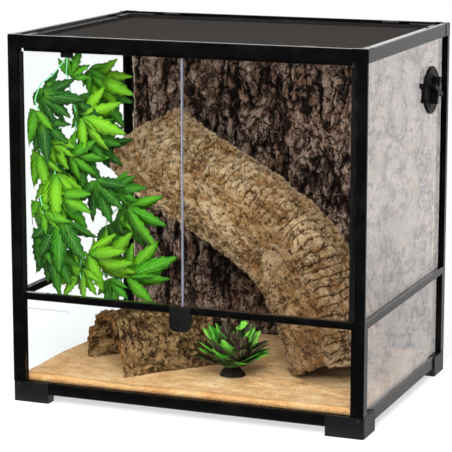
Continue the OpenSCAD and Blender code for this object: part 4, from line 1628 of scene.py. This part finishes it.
    def sagging(self, trail: Sequence[Vector], draw: random.Random) -> list[Vector]:
        """Puts sagging points between the points of a trail.

        Args:
            trail: The trail's points in mm.
            draw: The source of the sway.

        Returns:
            The points of the softer trail.
        """
        soft = [trail[0]]
        for a, b in zip(trail, trail[1:]):
            sway = Vector((*[draw.uniform(*span) for span in self.sway], -self.sag))
            soft += [a.lerp(b, share) + sway * amount for share, amount in self.bends]
            soft.append(b)
        return soft

    def hook_block(self) -> bpy.types.Object:
        """Builds the small block that hangs the strands from the lip.

        Returns:
            The block.
        """
        middle = Vector(self.hook) + Vector((0, -self.bar[1] / 2, self.raised))
        shape = bmesh.new()
        bmesh.ops.create_cube(shape, size=1.0)
        for vert in shape.verts:
            vert.co = (middle + vert.co * Vector(self.bar)) * MM
        bmesh.ops.bevel(shape, geom=shape.edges[:], offset=self.bevel, segments=2, affect="EDGES")
        mesh = shaped_mesh("vine_hook", shape)
        mesh.materials.append(self.palette[Finish.clip_plastic])
        return shown("vine_hook", mesh)


@dataclass
class SmallPlant(Piece):
    """A rosette of blades on a small stone."""

    place: tuple[float, float] = (34.0, -96.0)  # Where it stands along X and Y.
    ground: float = 41.6  # The height of the sand there.
    root: float = 14.0  # How far above the sand the blades start.
    stone_r: float = 24.0  # The stone's radius.
    sunk: float = 6.0  # How far the stone's middle is below the sand.
    # Each ring's number of bunches, blade length, lean off the vertical, first angle and tone.
    rings: tuple[tuple[float, ...], ...] = (
        (7, 72, 60, 10, 0.7),
        (8, 82, 40, 33, 0.85),
        (6, 88, 20, 50, 0.75),
    )
    crowd: int = 2  # How many blades a bunch has.
    green: float = 0.56  # The share of blades that aren't dark all over.
    dark: float = 0.06  # The tone of those that are.
    # How far a blade may be off its place round the stem and off its lean, in degrees.
    stray: Span = (-9, 9)
    roll: Span = (-20, 20)  # How far a blade may turn about its midrib, in degrees.
    lengths: Span = (0.84, 1.0)  # How much shorter a blade may be.
    shades: Span = (-0.2, 0.15)  # How much darker or brighter a blade may be.
    core: float = 3.0  # How far from the middle the blades start.
    seed: int = 11  # What the random differences follow from.
    blade: BladeShape = BladeShape(width=0.46, teeth=5, bite=0.16, droop=0.06)

    def blades(self) -> list[Blade]:
        """Places the blades.

        Returns:
            The blades of every ring.
        """
        draw = random.Random(self.seed)
        blades: list[Blade] = []
        root = Vector((*self.place, self.ground + self.root))
        for bunches, length, lean, first, tone in self.rings:
            count = self.crowd * bunches
            for i in range(count):
                spin = turned(360 * i / count + first + draw.uniform(*self.stray), "Z")
                rise = turned(-90 + lean + draw.uniform(*self.stray), "Y")
                roll = turned(draw.uniform(*self.roll), "X")
                foot = (root + spin @ Vector((self.core, 0, 0))) * MM
                size = length * draw.uniform(*self.lengths) * MM
                shade = tone + draw.uniform(*self.shades) if draw.random() < self.green else self.dark
                blades.append(Blade(tuple(foot), tuple((spin @ rise @ roll).to_euler()), size, shade))
        return blades

    def build(self) -> bpy.types.Object:
        """Builds the plant.

        Returns:
            The finished piece.
        """
        shape = self.blade.build("plant_blade")
        leaves = scattered("plant_leaves", shape, self.blades(), self.palette[Finish.plant_leaf])
        piece = joined("small_rosette", [leaves, self.stone()])
        kept_inside(piece, "small_plant")
        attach(piece, "tank")
        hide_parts("small_plant")
        return piece

    def stone(self) -> bpy.types.Object:
        """Builds the stone that holds the blades.

        Returns:
            The stone.
        """
        shape = bmesh.new()
        bmesh.ops.create_icosphere(shape, subdivisions=4, radius=1.0)
        b = Builder("stone", Radius=self.stone_r * MM)
        where = b.position()
        lump = b.noise(where, 1.6, 4, 0.6) * 0.3 + 0.83
        size = b.vector("MULTIPLY", where, lump * b.given("Radius"))
        middle = tuple(part * MM for part in (*self.place, self.ground - self.sunk))
        placed = b.moved(Position=b.vector("ADD", size, middle))
        return b.run(shaped_mesh("stone", shape), "plant_stone", self.palette[Finish.plant_stone], placed)


@dataclass
class FillLine(Piece):
    """A plain wavy line printed on the front glass, which shows how high the sand may lie."""

    ends: tuple[float, float] = (-283.0, -205.0)  # Where it starts and ends along X.
    height: float = 158.5  # Where it is along Z.
    wave: float = 1.3  # Half the height of its waves.
    waves: int = 10  # How many waves it has.
    half: float = 0.4  # Half its width.
    front: float = -222.51  # Where its outer face is along Y.
    thick: float = 0.05  # How thick it is.

    def build(self) -> bpy.types.Object:
        """Builds the line as a thin flat ribbon.

        Returns:
            The finished piece.
        """
        steps = 6 * self.waves
        back = self.front + self.thick
        points = []
        for i in range(steps + 1):
            x = self.ends[0] + (self.ends[1] - self.ends[0]) * i / steps
            z = self.height + self.wave * math.sin(i * math.pi / 3)
            outline = ((self.front, -1), (self.front, 1), (back, 1), (back, -1))
            points += [(x * MM, y * MM, (z + side * self.half) * MM) for y, side in outline]
        caps = [(3, 2, 1, 0), tuple(4 * steps + k for k in range(4))]
        mesh = new_mesh("fill_line", points, ring_faces(steps + 1, 4) + caps)
        mesh.materials.append(self.palette[Finish.printed_ink])
        piece = shown("fill_line", mesh)
        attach(piece, "tank")
        return piece


# ---------------------------------------------------------------- studio


@dataclass(frozen=True)
class Lamp:
    """A soft square lamp."""

    name: str  # Its name.
    place: Point  # Where it is, in metres.
    aim: Point  # Where it points.
    power: float  # Its power in watts.
    size: float = 1.8  # Its side in metres.

    def hang(self) -> None:
        """Hangs the lamp."""
        data = bpy.data.lights.new(self.name, "AREA")
        data.energy, data.size = self.power, self.size
        holder = shown(self.name, data)
        holder.location = self.place
        holder.rotation_euler = (Vector(self.aim) - Vector(self.place)).to_track_quat("-Z", "Y").to_euler()
        holder.visible_glossy = False


@dataclass
class Studio:
    """The pale floor, the light and the camera."""

    eye: Point = (1.235, -3.1455, 0.947)  # The camera's place.
    yaw: float = 21.69  # How far it turns left, in degrees.
    pitch: float = 10.61  # How far it looks down, in degrees.
    focal: float = 2043.0  # Its focal length, in the same pixels as frame_px.
    frame_px: float = 452.0  # The picture's width in pixels.
    sensor: float = 36.0  # The camera's sensor width in mm.
    shift_y: float = -0.05  # Its vertical lens shift.
    ambient: float = 0.6  # The strength of the fill light.
    behind: float = 0.06  # How bright the dark side of the studio is in a mirror.
    contact: float = 0.2  # How much painted shadow darkens the floor near the object, as seen in a mirror.
    reach: float = 9.0  # How far the floor goes, in metres.
    lamps: tuple[Lamp, ...] = (
        Lamp("key", place=(1.0, -3.0, 2.3), aim=(-0.1, 0.0, 0.35), power=165),
        Lamp("front", place=(-1.3, -3.2, 1.1), aim=(0.0, 0.0, 0.25), power=60),
        Lamp("top", place=(0.2, -0.6, 2.6), aim=(0.0, 0.0, 0.4), power=40),
    )

    def build(self) -> None:
        """Builds the studio."""
        self.camera()
        self.world()
        self.floor()
        for lamp in self.lamps:
            lamp.hang()

    def camera(self) -> None:
        """Places the camera."""
        data = bpy.data.cameras.new("camera")
        data.sensor_width = self.sensor
        data.lens = self.focal / self.frame_px * data.sensor_width
        data.shift_y = self.shift_y
        data.clip_start, data.clip_end = 0.1, 60.0
        holder = shown("camera", data)
        holder.location = self.eye
        holder.rotation_euler = Euler((math.radians(90 - self.pitch), 0, math.radians(self.yaw)))
        bpy.context.scene.camera = holder

    def world(self) -> None:
        """Makes white surroundings with a dark studio behind the camera, and a plain fill light."""
        world = bpy.data.worlds.new("studio")
        world.use_nodes = True
        world.node_tree.nodes.clear()
        t = Tree(world.node_tree)
        camera, glossy, through = t.rays("Is Camera Ray", "Is Glossy Ray", "Is Transmission Ray")
        toward = t.part(t.out("ShaderNodeNewGeometry", result="Position"), "Y")
        mirrored = toward.rise(-0.35, 0.05) * (1 - self.behind) + self.behind
        bright = (camera + through).rise(0.2, 0.8)
        strength = bright + (1 - bright) * (glossy * mirrored + (1 - glossy) * self.ambient)
        back = t.out("ShaderNodeBackground", {}, {"Color": hue("#ffffff"), "Strength": strength})
        t.add("ShaderNodeOutputWorld", {}, {"Surface": back})
        bpy.context.scene.world = world

    def floor(self) -> None:
        """Lays a wide pale floor that keeps the object's shadow."""
        corners = ((-1, -1), (1, -1), (1, 1), (-1, 1))
        mesh = new_mesh("floor", [(x * self.reach, y * self.reach, 0) for x, y in corners], [range(4)])
        s = Shader("floor")
        cloud = s.noise(s.where, 3, 3, 0.5)
        body = s.principled(
            Base_Color=s.mix(cloud, hue("#f4f4f4"), hue("#fbfbfb")), Roughness=0.9, Specular_IOR_Level=0.1
        )
        camera, through, glossy = s.rays("Is Camera Ray", "Is Transmission Ray", "Is Glossy Ray")
        before = s.part(s.where, "Y").rise(-0.24, -0.3) * glossy
        far = s.vector("LENGTH", s.where).rise(0.7, 1.7)
        # Painted shadow: the floor near the object is darker in mirrors.
        near = (1 - far) * glossy * self.contact
        strength = (before * (self.behind - 1) + 1) * (1 - near)
        white = s.out("ShaderNodeEmission", {}, {"Color": hue("#ffffff"), "Strength": strength})
        open_floor = (before + far + glossy).rise(0.0, 1.0)
        share = (camera + through + glossy).rise(0.2, 0.8) * (open_floor * 0.4 + 0.6)
        mesh.materials.append(s.finish(s.blend(share, body, white)))
        shown("floor", mesh)


def main() -> None:
    """Builds every piece in order and reports each one."""
    logging.basicConfig(level=logging.INFO, format="%(message)s")
    bpy.context.scene.view_settings.view_transform = "Standard"
    palette = Palette()
    replaced = (
        "screen_mesh",
        "background_panel",
        "sand_bed",
        "cork_log",
        "cork_hide",
        "hanging_vine",
        "small_plant",
    )
    LOG.info("dressed %d CAD nodes", Enclosure(palette, replaced).dress())
    log_line = ((-222, 109, 412), (-105, 104, 285), (122, 18, 337), (205, -33, 60))
    hide_line = ((-185, -125, 38), (-62, 15, 36))
    makers = (
        WovenScreen(palette),
        BarkWall(palette),
        SandBed(palette),
        CorkPiece(palette, "cork_log", "cork_tube", log_line),
        CorkPiece(palette, "cork_hide", "cork_arch", hide_line, sawn=True, depth=9.0 * MM),
        HangingVine(palette),
        SmallPlant(palette),
        FillLine(palette),
    )
    for maker in makers:
        piece = maker.build()
        LOG.info("%s: %d faces", piece.name, len(piece.data.polygons))
    Studio().build()


if __name__ == "__main__":
    main()
